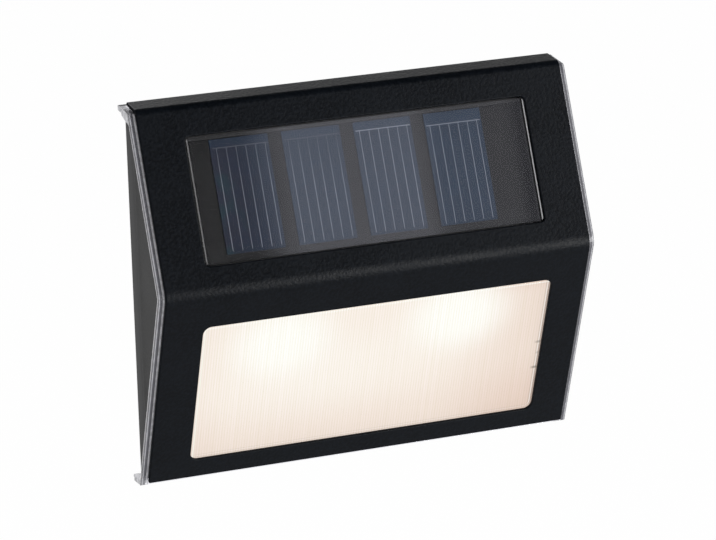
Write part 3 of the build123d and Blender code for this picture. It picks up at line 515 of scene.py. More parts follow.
def powder_coat(colours, half):
    """Black powder coat: orange peel, fine grain and slightly uneven gloss, dull on the cut side edges."""
    graph = Graph("powder_coat")
    where, (x, _, _) = graph.place()
    cut = graph.ramp(abs(x), half - 0.22 * MM, half - 0.06 * MM)
    peel = graph.noise(where, 0.8 * MM, detail=1.0)
    grain = graph.noise(where, 0.35 * MM, detail=1.0)
    cloud = graph.noise(where, 14 * MM)
    shade = graph.tones(peel, 0.38, 0.66, colours.coat, 0.75, 1.25)
    shade = graph.blend(graph.ramp(cloud, 0.35, 0.7) * 0.3, shade, scaled(colours.coat, 1.5))
    dullness = graph.ramp(peel, 0.3, 0.7, 0.31, 0.41) + graph.ramp(cloud, 0.3, 0.7, -0.03, 0.03)
    return graph.coated(
        Base_Color=shade,
        Roughness=dullness + cut * 0.4,
        Specular_IOR_Level=0.082,
        Normal=graph.bump(peel * 0.85 + grain * 0.15, 0.085 * MM),
    )


def moulded(name, shade, gloss=0.42, grain_size=0.35 * MM, depth=0.02 * MM):
    """Moulded plastic with a fine spark-eroded grain and faint flow marks."""
    graph = Graph(name)
    where, _ = graph.place()
    grain = graph.noise(where, grain_size)
    flow = graph.noise(where, 22 * MM, detail=3.0, roughness=0.6)
    return graph.coated(
        Base_Color=graph.tones(flow, 0.3, 0.75, shade, 0.85, 1.2),
        Roughness=graph.ramp(grain, 0.3, 0.7, gloss - 0.05, gloss + 0.07),
        Specular_IOR_Level=0.12,
        Normal=graph.bump(grain + flow * 0.5, depth),
    )


def housing_plastic(shade):
    """Dark plastic box whose side walls carry a painted highlight that grows towards their rear rim."""
    graph = Graph("housing_plastic")
    where, (x, y, _) = graph.place()
    grain = graph.noise(where, 0.4 * MM)
    flow = graph.noise(where, 24 * MM, detail=3.0, roughness=0.6)
    # Painted highlight: the base colour turns three times paler near the rear rim, where a lamp's sheen would
    # lie
    rim = graph.ramp(y, -5.2 * MM, -1.2 * MM) * graph.ramp(abs(x), 57 * MM, 58 * MM)
    tone = graph.tones(flow, 0.3, 0.75, shade, 0.85, 1.2)
    return graph.coated(
        Base_Color=graph.blend(rim, tone, scaled(shade, 3.0)),
        Roughness=graph.ramp(grain, 0.3, 0.7, 0.36, 0.46),
        Specular_IOR_Level=0.05,
        Normal=graph.bump(grain + flow, 0.02 * MM),
    )


def clear_plastic(colours, sizes, side):
    """Clear moulding whose flange is half milky, with painted highlight lines where its corners would catch
    the light.
    """
    graph = Graph("clear_plastic")
    where, (x, y, z) = graph.place()
    waves = graph.noise(where, 6 * MM, detail=1.0)
    cloud = graph.noise(where, 1.5 * MM)
    depth = side.shader_depth(y, z)
    behind = depth - sizes.sheet - sizes.tape
    outside = abs(x) - sizes.cover_width / 2
    rim = outside - sizes.flange_overhang
    front = graph.ramp(behind, 0.45 * MM, 0.25 * MM)
    # Painted highlights: bright lines along the flange's rear edge, its front edge and its outer corner
    rear_highlight = graph.ramp(behind, 0.45 * MM, 0.75 * MM) * graph.ramp(rim, -0.22 * MM, -0.06 * MM)
    front_highlight = graph.ramp(abs(outside - 0.28 * MM), 0.34 * MM, 0.16 * MM) * front
    corner_highlight = graph.ramp(abs(outside - 1.42 * MM), 0.26 * MM, 0.08 * MM) * front * 0.6
    lines = (rear_highlight + front_highlight + corner_highlight).maths("MINIMUM", 1.0)
    lines = lines * graph.ramp(cloud, 0.25, 0.7, 0.7, 1.0)
    milk = graph.tones(cloud, 0.3, 0.7, colours.clear_edge, 1.0, 1.35, 0.5)
    milk = graph.blend(lines, milk, colours.clear_line)
    skin = graph.surface(Base_Color=milk, Roughness=0.3, Specular_IOR_Level=0.3)
    glass = graph.surface(
        Base_Color=colours.clear,
        Roughness=graph.ramp(waves, 0.3, 0.7, 0.03, 0.08),
        IOR=1.49,
        Transmission_Weight=1.0,
        Normal=graph.bump(waves, 0.04 * MM),
    )
    frost = graph.ramp(depth, 2.4 * MM, 3.0 * MM, 0.75, 0.4).maths("MAXIMUM", lines * 0.92)
    frost = frost * graph.ramp(outside, -0.4 * MM, 0.1 * MM)
    return graph.finish(graph.mixed(frost, glass, skin))


def clear_pane(name, side, tint, shine, gloss, veils=()):
    """Thin clear pane that light goes straight through: its face shines and carries the veils it is given,
    diffuse layers of milky haze and of painted reflection, shade and highlight.
    """
    graph = Graph(name)
    where, (x, y, z) = graph.place()
    waves = graph.noise(where, 9 * MM, detail=1.0)
    through = graph.node("ShaderNodeBsdfTransparent", {}, {"Color": rgba(tint)})
    inputs = {"Color": rgba((1, 1, 1)), "Roughness": gloss, "Normal": graph.bump(waves, 0.02 * MM)}
    mirror = graph.node("ShaderNodeBsdfGlossy", {}, inputs)
    fresnel = graph.node("ShaderNodeFresnel", {}, {"IOR": 1.49})
    face = graph.ramp(side.shader_depth(y, z), 0.62 * MM, 0.54 * MM)
    shader = graph.mixed(fresnel * face * shine, through, mirror)
    # Each veil is a diffuse layer weighted across the width: painted reflection, shade and highlight lines
    for weigh, shade in veils:
        veil = graph.node("ShaderNodeBsdfDiffuse", {}, {"Color": rgba(shade)})
        shader = graph.mixed(weigh(graph, x) * face, shader, veil)
    return graph.finish(shader)


def haze_and_painted_reflection(graph, x):
    """Weight of the solar pane's milky haze and painted reflection across its width: most before the second
    and third cells.
    """
    # Painted reflection: the diffuse veil grows and fades across the width as a lamp's broad reflection would
    rise = graph.ramp(x, -35 * MM, -19 * MM)
    return rise * graph.ramp(x, 13 * MM, 23 * MM, 0.07, 0.0294) + 0.009


def edge_line(half, inner, outer, at_left, at_right):
    """Weight of a line along a pane's side edges, which fades inwards at inner and outwards at outer."""

    def weigh(graph, x):
        inwards = half - abs(x)
        line = graph.ramp(inwards, *inner) * graph.ramp(inwards, *outer)
        return line * graph.ramp(x, -half, half, at_left, at_right)

    return weigh


def solar_veils(colours, half):
    """The solar pane's milky haze with painted reflection, and the painted shade line and painted highlight
    line in its moulded side edges.
    """
    # Painted shade line (near black) and painted highlight line (pale), stronger at the right edge
    dark = edge_line(half, (1.0 * MM, 0.8 * MM), (0.42 * MM, 0.55 * MM), 0.15, 0.85)
    bright = edge_line(half, (0.5 * MM, 0.36 * MM), (0.02 * MM, 0.1 * MM), 0.24, 0.45)
    return (haze_and_painted_reflection, colours.haze), (dark, (0.003, 0.003, 0.003)), (bright, (0.6, 0.6, 0.61))


def bell(graph, square):
    """Falls from 1 to 0 as this square of a distance grows."""
    return graph.maths("POWER", math.e, square * -1.0)


def pane_light(graph, colours, sizes, x, drop):
    """A bright spot before each LED, a slanting beam between them, and warmer light towards the edges."""
    spots = 0.0
    for hand, rise in ((-0.5, 0.0), (0.5, 1.0 * MM)):
        across = (x - hand * sizes.led_spacing) / (16 * MM)
        down = (drop - sizes.led_drop + rise) / (12.5 * MM)
        spots = bell(graph, across * across + down * down) + spots
    slant = (x + 8 * MM + (drop - 20 * MM) * 0.4) / (26 * MM)
    beam = bell(graph, slant * slant)
    beam = beam * graph.ramp(drop, 16 * MM, 30 * MM) * graph.ramp(drop, 54 * MM, 34 * MM)
    half, foot = sizes.light_width / 2, sizes.light_top + sizes.light_height
    inside = x - sizes.light_shift
    near_left = graph.ramp(inside, 12 * MM - half, -half)
    near_foot = graph.ramp(drop, foot - 20 * MM, foot)
    near_right = graph.ramp(inside, 14 * MM, half)
    near_top = graph.ramp(drop, sizes.light_top + 6 * MM, sizes.light_top)
    far = near_left * 0.12 + near_foot * 0.38 + near_right * (near_top * 0.35 + 0.55) + 0.02
    lit = graph.blend(far.maths("MINIMUM", 1.0), colours.glow, colours.glow_edge)
    lit = graph.blend(graph.ramp(spots, 0.1, 0.95), lit, colours.glow_spot)
    return graph.blend(beam * 0.3, lit, colours.glow_spot)


def pane_edges(graph, colours, sizes, x, drop, lit):
    """Painted lines of light and shade in the pane's moulded edges, and the painted shadows of three clips at
    its right one.

    The flutes lie deep behind the window, so seen from the front left its edges frame them a little
    to the right and further down.
    """
    half, foot = sizes.light_width / 2, sizes.light_top + sizes.light_height
    right = half + 1.13 * MM - x
    left = half - 1.49 * MM + x
    top = drop - sizes.light_top - 2.26 * MM
    low = foot + 1.52 * MM - drop
    corner = sizes.light_corner
    round_x, round_z = ((corner - inwards).maths("MAXIMUM", 0.0) for inwards in (right, low))
    rim = corner - (round_x * round_x + round_z * round_z) ** 0.5
    along_side = graph.ramp(low, 0.5 * MM, 2.0 * MM, 0.25, 1.0)
    # Painted shade bands and painted highlight lines along the right, lower, left and top edges
    for inwards, centre, reach, weight, shade in (
        (rim, 0.18, 0.45, along_side * 0.8, scaled(colours.glow_edge, 0.48)),
        (rim, 0.95, 0.22, along_side * 0.35, scaled(colours.glow_edge, 0.5)),
        (rim, 0.68, 0.2, along_side * 0.5, colours.glow_spot),
        (left, 0.25, 0.26, 0.7, colours.glow_spot),
        (top, 0.3, 0.26, 0.6, colours.glow_spot),
    ):
        line = graph.ramp(abs(inwards - centre * MM), reach * MM, reach * 0.5 * MM)
        lit = graph.blend(line * weight, lit, shade)
    # Painted shadows of three clips: dark ticks in the glow along the right edge
    clip_shadows = 0.0
    for height, reach, weight in ((32.4, 1.6, 0.55), (36.0, 0.9, 0.4), (40.8, 1.7, 0.7)):
        clip_shadow = graph.ramp(abs(drop - height * MM), 0.55 * MM, 0.15 * MM)
        clip_shadows = clip_shadow * graph.ramp(right, reach * 1.4 * MM, reach * 0.5 * MM) * weight + clip_shadows
    return graph.blend(clip_shadows, lit, (0.2, 0.17, 0.14))


def flute_tone(graph, sizes, where, x):
    """The flutes as fine upright lines, with wider streaks from the mould, a touch warmer where dark."""
    wander = graph.noise(where, 3 * MM, detail=1.0)
    lines = (x / sizes.flute_pitch * (2 * math.pi)).maths("SINE")
    inputs = {"W": x / (1.3 * MM), "Scale": 1.0, "Detail": 2.0}
    streak = graph.node("ShaderNodeTexNoise", {"noise_dimensions": "1D"}, inputs)
    tone = 0.97 + lines * 0.035 * graph.ramp(wander, 0.3, 0.6, 0.6, 1.3) + (streak - 0.5) * 0.06
    return graph.node("ShaderNodeCombineColor", {}, {"Red": tone, "Green": tone, "Blue": tone * tone})


def glowing_flutes(colours, sizes, side):
    """Warm light in the fluted pane: brightest before each LED, fading to the edges."""
    graph = Graph("glowing_flutes")
    where, (x, y, z) = graph.place()
    drop = side.lower_drop(y, z)
    lit = pane_light(graph, colours, sizes, x, drop)
    inside = x - sizes.light_shift
    lit = pane_edges(graph, colours, sizes, inside, drop, lit)
    return graph.coated(
        Base_Color=(0.04, 0.038, 0.036),
        Roughness=0.3,
        Specular_IOR_Level=0.1,
        Emission_Color=graph.blend(1.0, lit, flute_tone(graph, sizes, where, inside), "MULTIPLY"),
        Emission_Strength=1.0,
    )


# The clear layer's sheen on the panel and its cells

CLEAR_COAT = {"Specular_IOR_Level": 0.05, "Coat_Weight": 0.25, "Coat_Roughness": 0.1}


def laminate(colours, sizes, side):
    """Dark grey panel between the cells, paler towards its lower edge."""
    graph = Graph("panel_laminate")
    where, (_, y, z) = graph.place()
    cloud = graph.noise(where, 9 * MM)
    weave = graph.noise(where, 0.5 * MM, detail=1.0)
    foot = sizes.solar_top + sizes.solar_height
    low = graph.ramp(side.upper_drop(y, z), foot - 7 * MM, foot)
    tone = graph.tones(cloud, 0.3, 0.7, colours.laminate, 0.85, 1.0)
    return graph.coated(
        Base_Color=graph.blend(low, tone, scaled(colours.laminate, 1.9)),
        Roughness=graph.ramp(weave, 0.3, 0.7, 0.5, 0.6),
        **CLEAR_COAT,
    )


def crystals(graph, colours, where, x, start, drop, top):
    """Blue-violet crystals with greenish patches, paler right of the first cell and above the bar."""
    inputs = {"Vector": where, "Scale": 1 / (2.2 * MM)}
    flakes = graph.node("ShaderNodeTexVoronoi", {}, inputs, output="Color")
    grey = graph.node("ShaderNodeRGBToBW", {}, {"Color": flakes})
    cloud = graph.noise(where, 6 * MM)
    patch = graph.noise(where, 5 * MM, detail=1.0)
    shade = graph.blend(graph.ramp(cloud, 0.3, 0.7) * 0.8 + grey * 0.2, colours.cell, colours.cell_shade)
    teal = graph.ramp(patch, 0.45, 0.7) * graph.ramp(x, start + 9 * MM, start, 0.35, 1.0)
    shade = graph.blend(teal, shade, colours.cell_teal)
    bloom = graph.ramp(x, -35 * MM, -19 * MM) * graph.ramp(cloud, 0.3, 0.7, 0.9, 1.0)
    shade = graph.blend(bloom, shade, colours.cell_bloom)
    above = graph.ramp(drop, top, top - 0.5 * MM) * 0.3
    return graph.blend(above, shade, scaled(colours.cell_bloom, 1.4)), grey


def silicon(colours, sizes, side, name, left, printing):
    """A cell: its crystals, six printed fingers that start at left, and the bar that joins them."""
    graph = Graph(name)
    where, (x, y, z) = graph.place()
    drop = side.upper_drop(y, z)
    top, bottom = printing.bar * MM, printing.end * MM
    shade, grey = crystals(graph, colours, where, x, left - 2 * MM, drop, top)
    offset = (x - left) / sizes.finger_pitch
    to_finger = abs(offset - offset.maths("ROUND")) * sizes.finger_pitch
    half = sizes.finger_width / 2
    finger = graph.ramp(to_finger, half * 1.4, half * 0.6)
    finger = finger * graph.ramp(offset, -0.2, -0.1) * graph.ramp(offset, 5.2, 5.1)
    finger = finger * graph.ramp(drop, top - half, top) * graph.ramp(drop, bottom, bottom - half)
    worn = graph.ramp(graph.noise(where, 9 * MM), 0.35, 0.6, 0.75, 1.0)
    worn = worn * graph.ramp(drop, top, top + 15 * MM, 1.0 - printing.fading, 1.0)
    bar = graph.ramp(abs(drop - top), 0.18 * MM, 0.07 * MM)
    bar = bar * graph.ramp(offset, -0.45, -0.35) * graph.ramp(offset, 5.4, 5.3)
    printed = (finger * worn).maths("MAXIMUM", bar * printing.bar_weight)
    return graph.coated(
        Base_Color=graph.blend(printed, shade, colours.finger),
        Roughness=graph.ramp(grey, 0.0, 1.0, 0.4, 0.5),
        Normal=graph.bump(printed, 0.01 * MM),
        **CLEAR_COAT,
    )


def plated(name, shade, gloss):
    """Zinc or nickel plate with fine tool marks and dull patches."""
    graph = Graph(name)
    where, _ = graph.place()
    marks = graph.noise(where, 0.12 * MM)
    patch = graph.noise(where, 1.2 * MM, detail=3.0)
    return graph.coated(
        Base_Color=graph.tones(patch, 0.3, 0.75, shade, 1.0, 0.72),
        Metallic=1.0,
        Roughness=graph.ramp(patch, 0.3, 0.7, gloss, gloss + 0.16),
        Normal=graph.bump(marks, 0.004 * MM),
    )


def rubber(name, shade):
    """Soft black rubber, matt with a bloom on its surface."""
    graph = Graph(name)
    where, _ = graph.place()
    bloom = graph.noise(where, 1.6 * MM, detail=3.0)
    return graph.coated(
        Base_Color=graph.tones(bloom, 0.4, 0.75, shade, 1.0, 2.2, 0.5),
        Roughness=graph.ramp(bloom, 0.3, 0.7, 0.75, 0.9),
        Specular_IOR_Level=0.3,
        Normal=graph.bump(bloom, 0.03 * MM),
    )


def board_mask(name, shade):
    """Solder mask with faint copper tracks showing under it."""
    graph = Graph(name)
    where, _ = graph.place()
    inputs = {"Vector": where, "Scale": 160.0, "Mortar Size": 0.03, "Mortar Smooth": 0.2}
    tracks = graph.node("ShaderNodeTexBrick", {"offset": 0.37}, inputs, output="Fac")
    tone = graph.blend(tracks * 0.5, shade, scaled(shade, 0.8))
    return graph.coated(Base_Color=tone, Roughness=0.35, Normal=graph.bump(tracks, 0.02 * MM))


def enamel(name, shade, gloss):
    """Insulation: a smooth skin with small unevenness."""
    graph = Graph(name)
    where, _ = graph.place()
    dents = graph.noise(where, 2.2 * MM)
    return graph.coated(
        Base_Color=graph.tones(dents, 0.35, 0.7, shade, 1.0, 0.75, 0.4),
        Roughness=graph.ramp(dents, 0.3, 0.7, gloss, gloss + 0.1),
        Normal=graph.bump(dents, 0.02 * MM),
    )


def two_part(name, pick, shades, gloss, metal=(0.0, 0.0)):
    """A finish that changes where the pick goes from 0 to 1: a body and its contacts, or two leads."""
    graph = Graph(name)
    where, axes = graph.place()
    dents = graph.noise(where, 1.4 * MM)
    part = pick(graph, *axes)
    first, second = (graph.tones(dents, 0.35, 0.7, shade, 1.0, 0.72, 0.5) for shade in shades)
    uneven = graph.ramp(dents, 0.3, 0.7, -0.04, 0.08)
    return graph.coated(
        Base_Color=graph.blend(part, first, second),
        Metallic=metal[0] + part * (metal[1] - metal[0]),
        Roughness=uneven + (gloss[0] + part * (gloss[1] - gloss[0])),
        Normal=graph.bump(dents, 0.012 * MM),
    )


# Operators, one for each piece or group of like pieces


class StepLightOperator:
    """What every operator of the step light shares."""

    bl_options = {"REGISTER", "UNDO"}

    def execute(self, context):
        scene = context.scene
        self.build(scene.step_light_sizes, scene.step_light_colours, SideView(scene.step_light_sizes))
        return {"FINISHED"}


class STEPLIGHT_OT_cover(StepLightOperator, bpy.types.Operator):
    """Builds the folded black cover with its two windows"""

    bl_idname = "steplight.cover"
    bl_label = "Cover"

    def build(self, sizes, colours, side):
        sheet, half = sizes.sheet, sizes.cover_width / 2
        outline = [
            crossing(side.lower(0), level(side.foot.y)),
            side.middle,
            side.crown,
            side.lip_end,
            side.lip_end + side.lip_in * sheet,
            crossing(side.upper(sheet), side.lip(sheet)),
            crossing(side.lower(sheet), side.upper(sheet)),
            side.foot + side.lower_in * sheet,
        ]
        middle, crown = sizes.middle_bend, sizes.crown_bend
        bends = [0, middle, crown, 0, 0, crown - sheet, middle - sheet, 0]
        cover = piece_from(prism(rounded(outline, bends, 14), -half, half), "cover_skin")
        windows = []
        for place, width, height, top, corner in window_rows(sizes, side, 0):
            shape = rounded_rectangle(width, height, corner, (0, top + height / 2), 10)
            windows.append(plate(shape, place, -sheet, 2 * sheet))
        carve(cover, windows)
        soften(cover, sizes.cover_edge, 3)
        settle(cover, "light", powder_coat(colours, half), ["front_cover"])


def window_rows(sizes, side, depth):
    """Place, width, height, top and corner of the solar and the light window, at this depth."""
    solar = side.upper_frame(depth)
    light = Matrix.Translation((sizes.light_shift, 0, 0)) @ side.lower_frame(depth)
    return (
        (solar, sizes.solar_width, sizes.solar_height, sizes.solar_top, sizes.solar_corner),
        (light, sizes.light_width, sizes.light_height, sizes.light_top, sizes.light_corner),
    )


class STEPLIGHT_OT_clear_moulding(StepLightOperator, bpy.types.Operator):
    """Builds the clear flange and returns, and the clear pane of each window"""

    bl_idname = "steplight.clear_moulding"
    bl_label = "Clear Moulding"

    thick_inset = 1.1 * MM
    opening_room = 0.1 * MM
    gusset_edge = 0.6 * MM
    gusset_root = 0.3 * MM
    glow_room = 0.3 * MM

    def build(self, sizes, colours, side):
        front = sizes.sheet + sizes.tape
        back = front + sizes.lens_wall
        half = sizes.cover_width / 2 + sizes.flange_overhang
        inner = half - self.thick_inset
        thick = self.outline(sizes, side, front, back)
        thin = self.outline(sizes, side, front, front + sizes.flange_edge)
        wall = piece_from(prism(self.bent(sizes, front, thick), -inner, inner), "clear_flange")
        ends = [prism(self.bent(sizes, front, thin), hand * inner, hand * half) for hand in (-1, 1)]
        carve(wall, ends, "UNION")
        carve(wall, self.gussets(sizes, side, thin[8], thin[6], half), "UNION")
        openings = []
        for place, width, height, top, radius in window_rows(sizes, side, front):
            reach = 2 * (sizes.pane_rim + self.opening_room)
            shape = rounded_rectangle(width + reach, height + reach, radius, (0, top + height / 2))
            openings.append(plate(shape, place, -MM, sizes.lens_wall + MM))
        carve(wall, openings)
        soften(wall, sizes.lens_edge, 2)
        settle(wall, "light", clear_plastic(colours, sizes, side), ["clear_lens"])
        self.panes(sizes, colours, side, front, back)

    def outline(self, sizes, side, front, back):
        """Side view of the moulding: a folded wall from front to back, and a return at each end."""
        under = front + sizes.return_wall
        foot = side.foot.y - sizes.return_drop
        end = -sizes.return_gap
        return [
            Vector((end, foot)),
            crossing(side.lower(front), level(foot)),
            crossing(side.lower(front), side.upper(front)),
            crossing(side.upper(front), side.lip(front)),
            crossing(side.lip(front), upright(end)),
            crossing(side.lip(under), upright(end)),
            crossing(side.upper(back), side.lip(under)),
            crossing(side.lower(back), side.upper(back)),
            crossing(side.lower(back), level(foot + sizes.return_wall)),
            Vector((end, foot + sizes.return_wall)),
        ]

    def bent(self, sizes, front, outline):
        """The outline with its folds and corners rounded."""
        corner, fold = 0.6 * MM, 0.8 * MM
        middle, crown = sizes.middle_bend - front, sizes.crown_bend - front
        return rounded(outline, [0, corner, middle, crown, 0, 0, corner, fold, corner, 0], 8)

    def gussets(self, sizes, side, low, high, half):
        """Webs in the flange's four corners, each with a swelling slope."""
        edge, root = self.gusset_edge, self.gusset_root
        reach, rise = sizes.gusset_reach, sizes.gusset_rise
        webs = []
        for corner, along, up in (
            (low, Vector((1, 0)), side.lower_up),
            (high, side.lip_back, -side.upper_up),
        ):
            start = corner - (along + up) * root
            web = [
                start,
                start + along * (reach + root),
                corner + along * (reach - 0.3 * edge) + up * edge,
                corner + along * reach * 0.5 + up * rise * 0.85,
                corner + along * edge + up * rise,
                start + up * (rise + root),
            ]
            for hand in (-1, 1):
                webs.append(prism(web, hand * half, hand * (half - sizes.gusset)))
        return webs

    def panes(self, sizes, colours, side, front, back):
        """A raised clear pane in each window, with a rim behind the cover."""
        veils = solar_veils(colours, sizes.solar_width / 2 - sizes.pane_gap)
        finishes = (
            clear_pane("solar_pane", side, (1.0, 1.0, 1.0), 0.0, 0.09, veils),
            clear_pane("light_pane", side, (0.995, 0.992, 0.99), 0.3, 0.12),
        )
        gap, rim = 2 * sizes.pane_gap, 2 * sizes.pane_rim
        for row, finish in zip(window_rows(sizes, side, 0), finishes):
            place, width, height, top, radius = row
            centre = (0, top + height / 2)
            raised = rounded_rectangle(width - gap, height - gap, radius - gap / 2, centre)
            base = rounded_rectangle(width + rim, height + rim, radius, centre)
            rear = back - sizes.flute_height - self.glow_room
            pane = piece_from(plate(base, place, front, rear), finish.name)
            carve(pane, [plate(raised, place, sizes.pane_recess, front + 0.2 * MM)], "UNION")
            soften(pane, sizes.lens_edge, 3)
            settle(pane, "light", finish, ["clear_lens"])


class STEPLIGHT_OT_glow(StepLightOperator, bpy.types.Operator):
    """Builds the fluted inside of the light pane, lit by the LEDs behind it"""

    bl_idname = "steplight.glow"
    bl_label = "Fluted Glow"

    skin = 0.25 * MM
    flute_steps = 6

    def build(self, sizes, colours, side):
        depth = sizes.sheet + sizes.tape + sizes.lens_wall - sizes.flute_height
        place = window_rows(sizes, side, depth)[1][0]
        top = sizes.light_top - sizes.pane_rim
        foot = sizes.light_top + sizes.light_height + sizes.pane_rim
        section = self.section(sizes)
        sheet = bmesh.new()
        rows = []
        for drop in (top, foot):
            rows.append([sheet.verts.new(place @ Vector((x, drop, rise))) for x, rise in section])
            rows.append([sheet.verts.new(place @ Vector((x, drop, -self.skin))) for x, _ in section])
        top_ribs, top_face, foot_ribs, foot_face = rows
        loop = (top_ribs, foot_ribs, foot_face, top_face)
        for one, other in zip(loop, loop[1:] + loop[:1]):
            for index in range(len(section) - 1):
                sheet.faces.new((one[index], one[index + 1], other[index + 1], other[index]))
        for end in (0, -1):
            sheet.faces.new([row[end] for row in loop])
        glow = piece_from(sheet, "fluted_glow")
        settle(glow, "light", glowing_flutes(colours, sizes, side), ["clear_lens"])

    def section(self, sizes):
        """The flutes across the pane, as pairs of X and rise."""
        wide = sizes.light_width + 2 * sizes.pane_rim
        count = int(wide / sizes.flute_pitch)
        start = -count * sizes.flute_pitch / 2
        section = []
        for number in range(count * self.flute_steps):
            flutes, step = divmod(number, self.flute_steps)
            across = (flutes + step / self.flute_steps) * sizes.flute_pitch
            section.append((start + across, math.sin(math.pi * step / self.flute_steps) * sizes.flute_height))
        return section + [(-start, 0.0)]


Printing = namedtuple("Printing", "inset bar end fading bar_weight")


class STEPLIGHT_OT_solar_panel(StepLightOperator, bpy.types.Operator):
    """Builds the panel: laminate, four printed cells and the clear layer over them"""

    bl_idname = "steplight.solar_panel"
    bl_label = "Solar Panel"

    cell_width = 16.2 * MM
    cell_height = 30.0 * MM
    cell_pitch = 20.06 * MM
    first_left = -40.1 * MM
    cell_top = 9.2 * MM
    panel_top = 7.55 * MM
    panel_height = 35.5 * MM
    clear_layer = 0.7 * MM
    cell_front, cell_back = 0.75 * MM, 0.99 * MM

    # In millimetres: the first finger from the cell's edge, the bar and the fingers' ends from the crown
    printings = (
        Printing(1.75, 11.5, 38.4, 0.55, 0.15),
        Printing(1.53, 11.5, 38.6, 0.8, 0.1),
        Printing(1.55, 11.5, 38.5, 0.1, 0.55),
        Printing(1.43, 12.4, 38.7, 0.15, 0.45),
    )

    def build(self, sizes, colours, side):
        depth = sizes.sheet + sizes.tape + sizes.lens_wall + sizes.tape
        place = side.upper_frame(depth)
        dress("solar_board", laminate(colours, sizes, side))
        low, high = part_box("solar_resin")
        middle = (0, self.panel_top + self.panel_height / 2)
        shape = rounded_rectangle(high.x - low.x, self.panel_height, 0.4 * MM, middle)
        resin = piece_from(plate(shape, place, 0, self.clear_layer), "clear_layer")
        soften(resin, 0.1 * MM, 2)
        finish = clear_pane("clear_layer", side, (0.99, 0.99, 0.99), 0.0, 0.15)
        settle(resin, "light", finish, ["solar_resin"])
        for number, printing in enumerate(self.printings):
            left = self.first_left + number * self.cell_pitch
            middle = (left + self.cell_width / 2, self.cell_top + self.cell_height / 2)
            shape = rounded_rectangle(self.cell_width, self.cell_height, 0.15 * MM, middle, 2)
            cell = piece_from(plate(shape, place, self.cell_front, self.cell_back), f"cell_{number + 1}")
            first = left + printing.inset * MM
            finish = silicon(colours, sizes, side, f"silicon_{number + 1}", first, printing)
            settle(cell, "light", finish, ["solar_cells"])


class STEPLIGHT_OT_housing(StepLightOperator, bpy.types.Operator):
    """Finishes the dark housing and its seal, and builds its rear rims and the cover's tape"""

    bl_idname = "steplight.housing"
    bl_label = "Housing"

    foam = (0.02, 0.02, 0.021)
    tape_room = 0.01 * MM
    tape_reach = 1.0 * MM
    tape_band = 4.0 * MM
    tape_corner = 1.0 * MM
    rim_steps = 8

    def build(self, sizes, colours, side):
        finish = housing_plastic(colours.housing)
        dress("rear_housing", finish)
        for hand, name in ((-1, "left"), (1, "right")):
            rim = piece_from(self.rim(sizes, hand), f"housing_rim_{name}")
            soften(rim, 0.2 * MM, 2, 40)
            settle(rim, "light", finish)
        dress("back_gasket", rubber("seal_rubber", (0.012, 0.012, 0.012)))
        self.cover_tape(sizes, side)
        dress("solar_tape", rubber("panel_tape_foam", self.foam))

    def cover_tape(self, sizes, side):
        """Two frames of foam tape between the cover and the clear moulding."""
        wide = 2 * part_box("cover_tape")[1].x
        names, shifts = ("upper", "lower"), (0.0, sizes.light_shift)
        finish = rubber("cover_tape_foam", self.foam)
        for row, name, shift in zip(window_rows(sizes, side, sizes.sheet), names, shifts):
            place, width, height, top, corner = row
            centre, reach = top + height / 2, 2 * self.tape_reach
            tall = height + 2 * self.tape_band
            shape = rounded_rectangle(wide, tall, self.tape_corner, (-shift, centre))
            window = rounded_rectangle(width + reach, height + reach, corner, (0, centre))
            skin = plate(shape, place, self.tape_room, sizes.tape - self.tape_room)
            tape = piece_from(skin, f"cover_tape_{name}")
            carve(tape, [plate(window, place, -MM, MM)])
            soften(tape, 0.03 * MM, 1)
            settle(tape, "light", finish, ["cover_tape"])

    def rim(self, sizes, hand):
        """Thickened strip along the rear edge of a side wall."""
        low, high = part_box("rear_housing")
        wall = high.x - 0.2 * MM
        out = high.x + sizes.rim_reach
        front = high.y - sizes.rim_length
        outline = []
        for step in range(self.rim_steps + 1):
            part = step / self.rim_steps
            reach = wall + (out - wall) * part**2
            outline.append(Vector((hand * reach, front + (high.y - front) * part)))
        outline.append(Vector((hand * wall, high.y)))
        return plate(outline, Matrix(), low.z + 0.3 * MM, high.z - 1.3 * MM)


class STEPLIGHT_OT_back(StepLightOperator, bpy.types.Operator):
    """Gives the back plate, battery cover and slide switch their finishes"""

    bl_idname = "steplight.back"
    bl_label = "Back"

    def build(self, sizes, colours, side):
        grain = {"grain_size": 0.6 * MM, "depth": 0.05 * MM}
        dress("back_plate", moulded("plate_plastic", colours.back, gloss=0.5, **grain))
        dress("battery_door", moulded("door_plastic", scaled(colours.back, 1.25), gloss=0.46, **grain))
        dress("door_seal", rubber("door_rubber", (0.014, 0.014, 0.014)))
        dress("switch_knob", moulded("knob_plastic", (0.02, 0.02, 0.022), gloss=0.3))
        dress("switch_body", plated("switch_shell", (0.62, 0.61, 0.58), 0.3))
        dress("switch_pins", plated("switch_pin_plate", (0.7, 0.68, 0.6), 0.2))


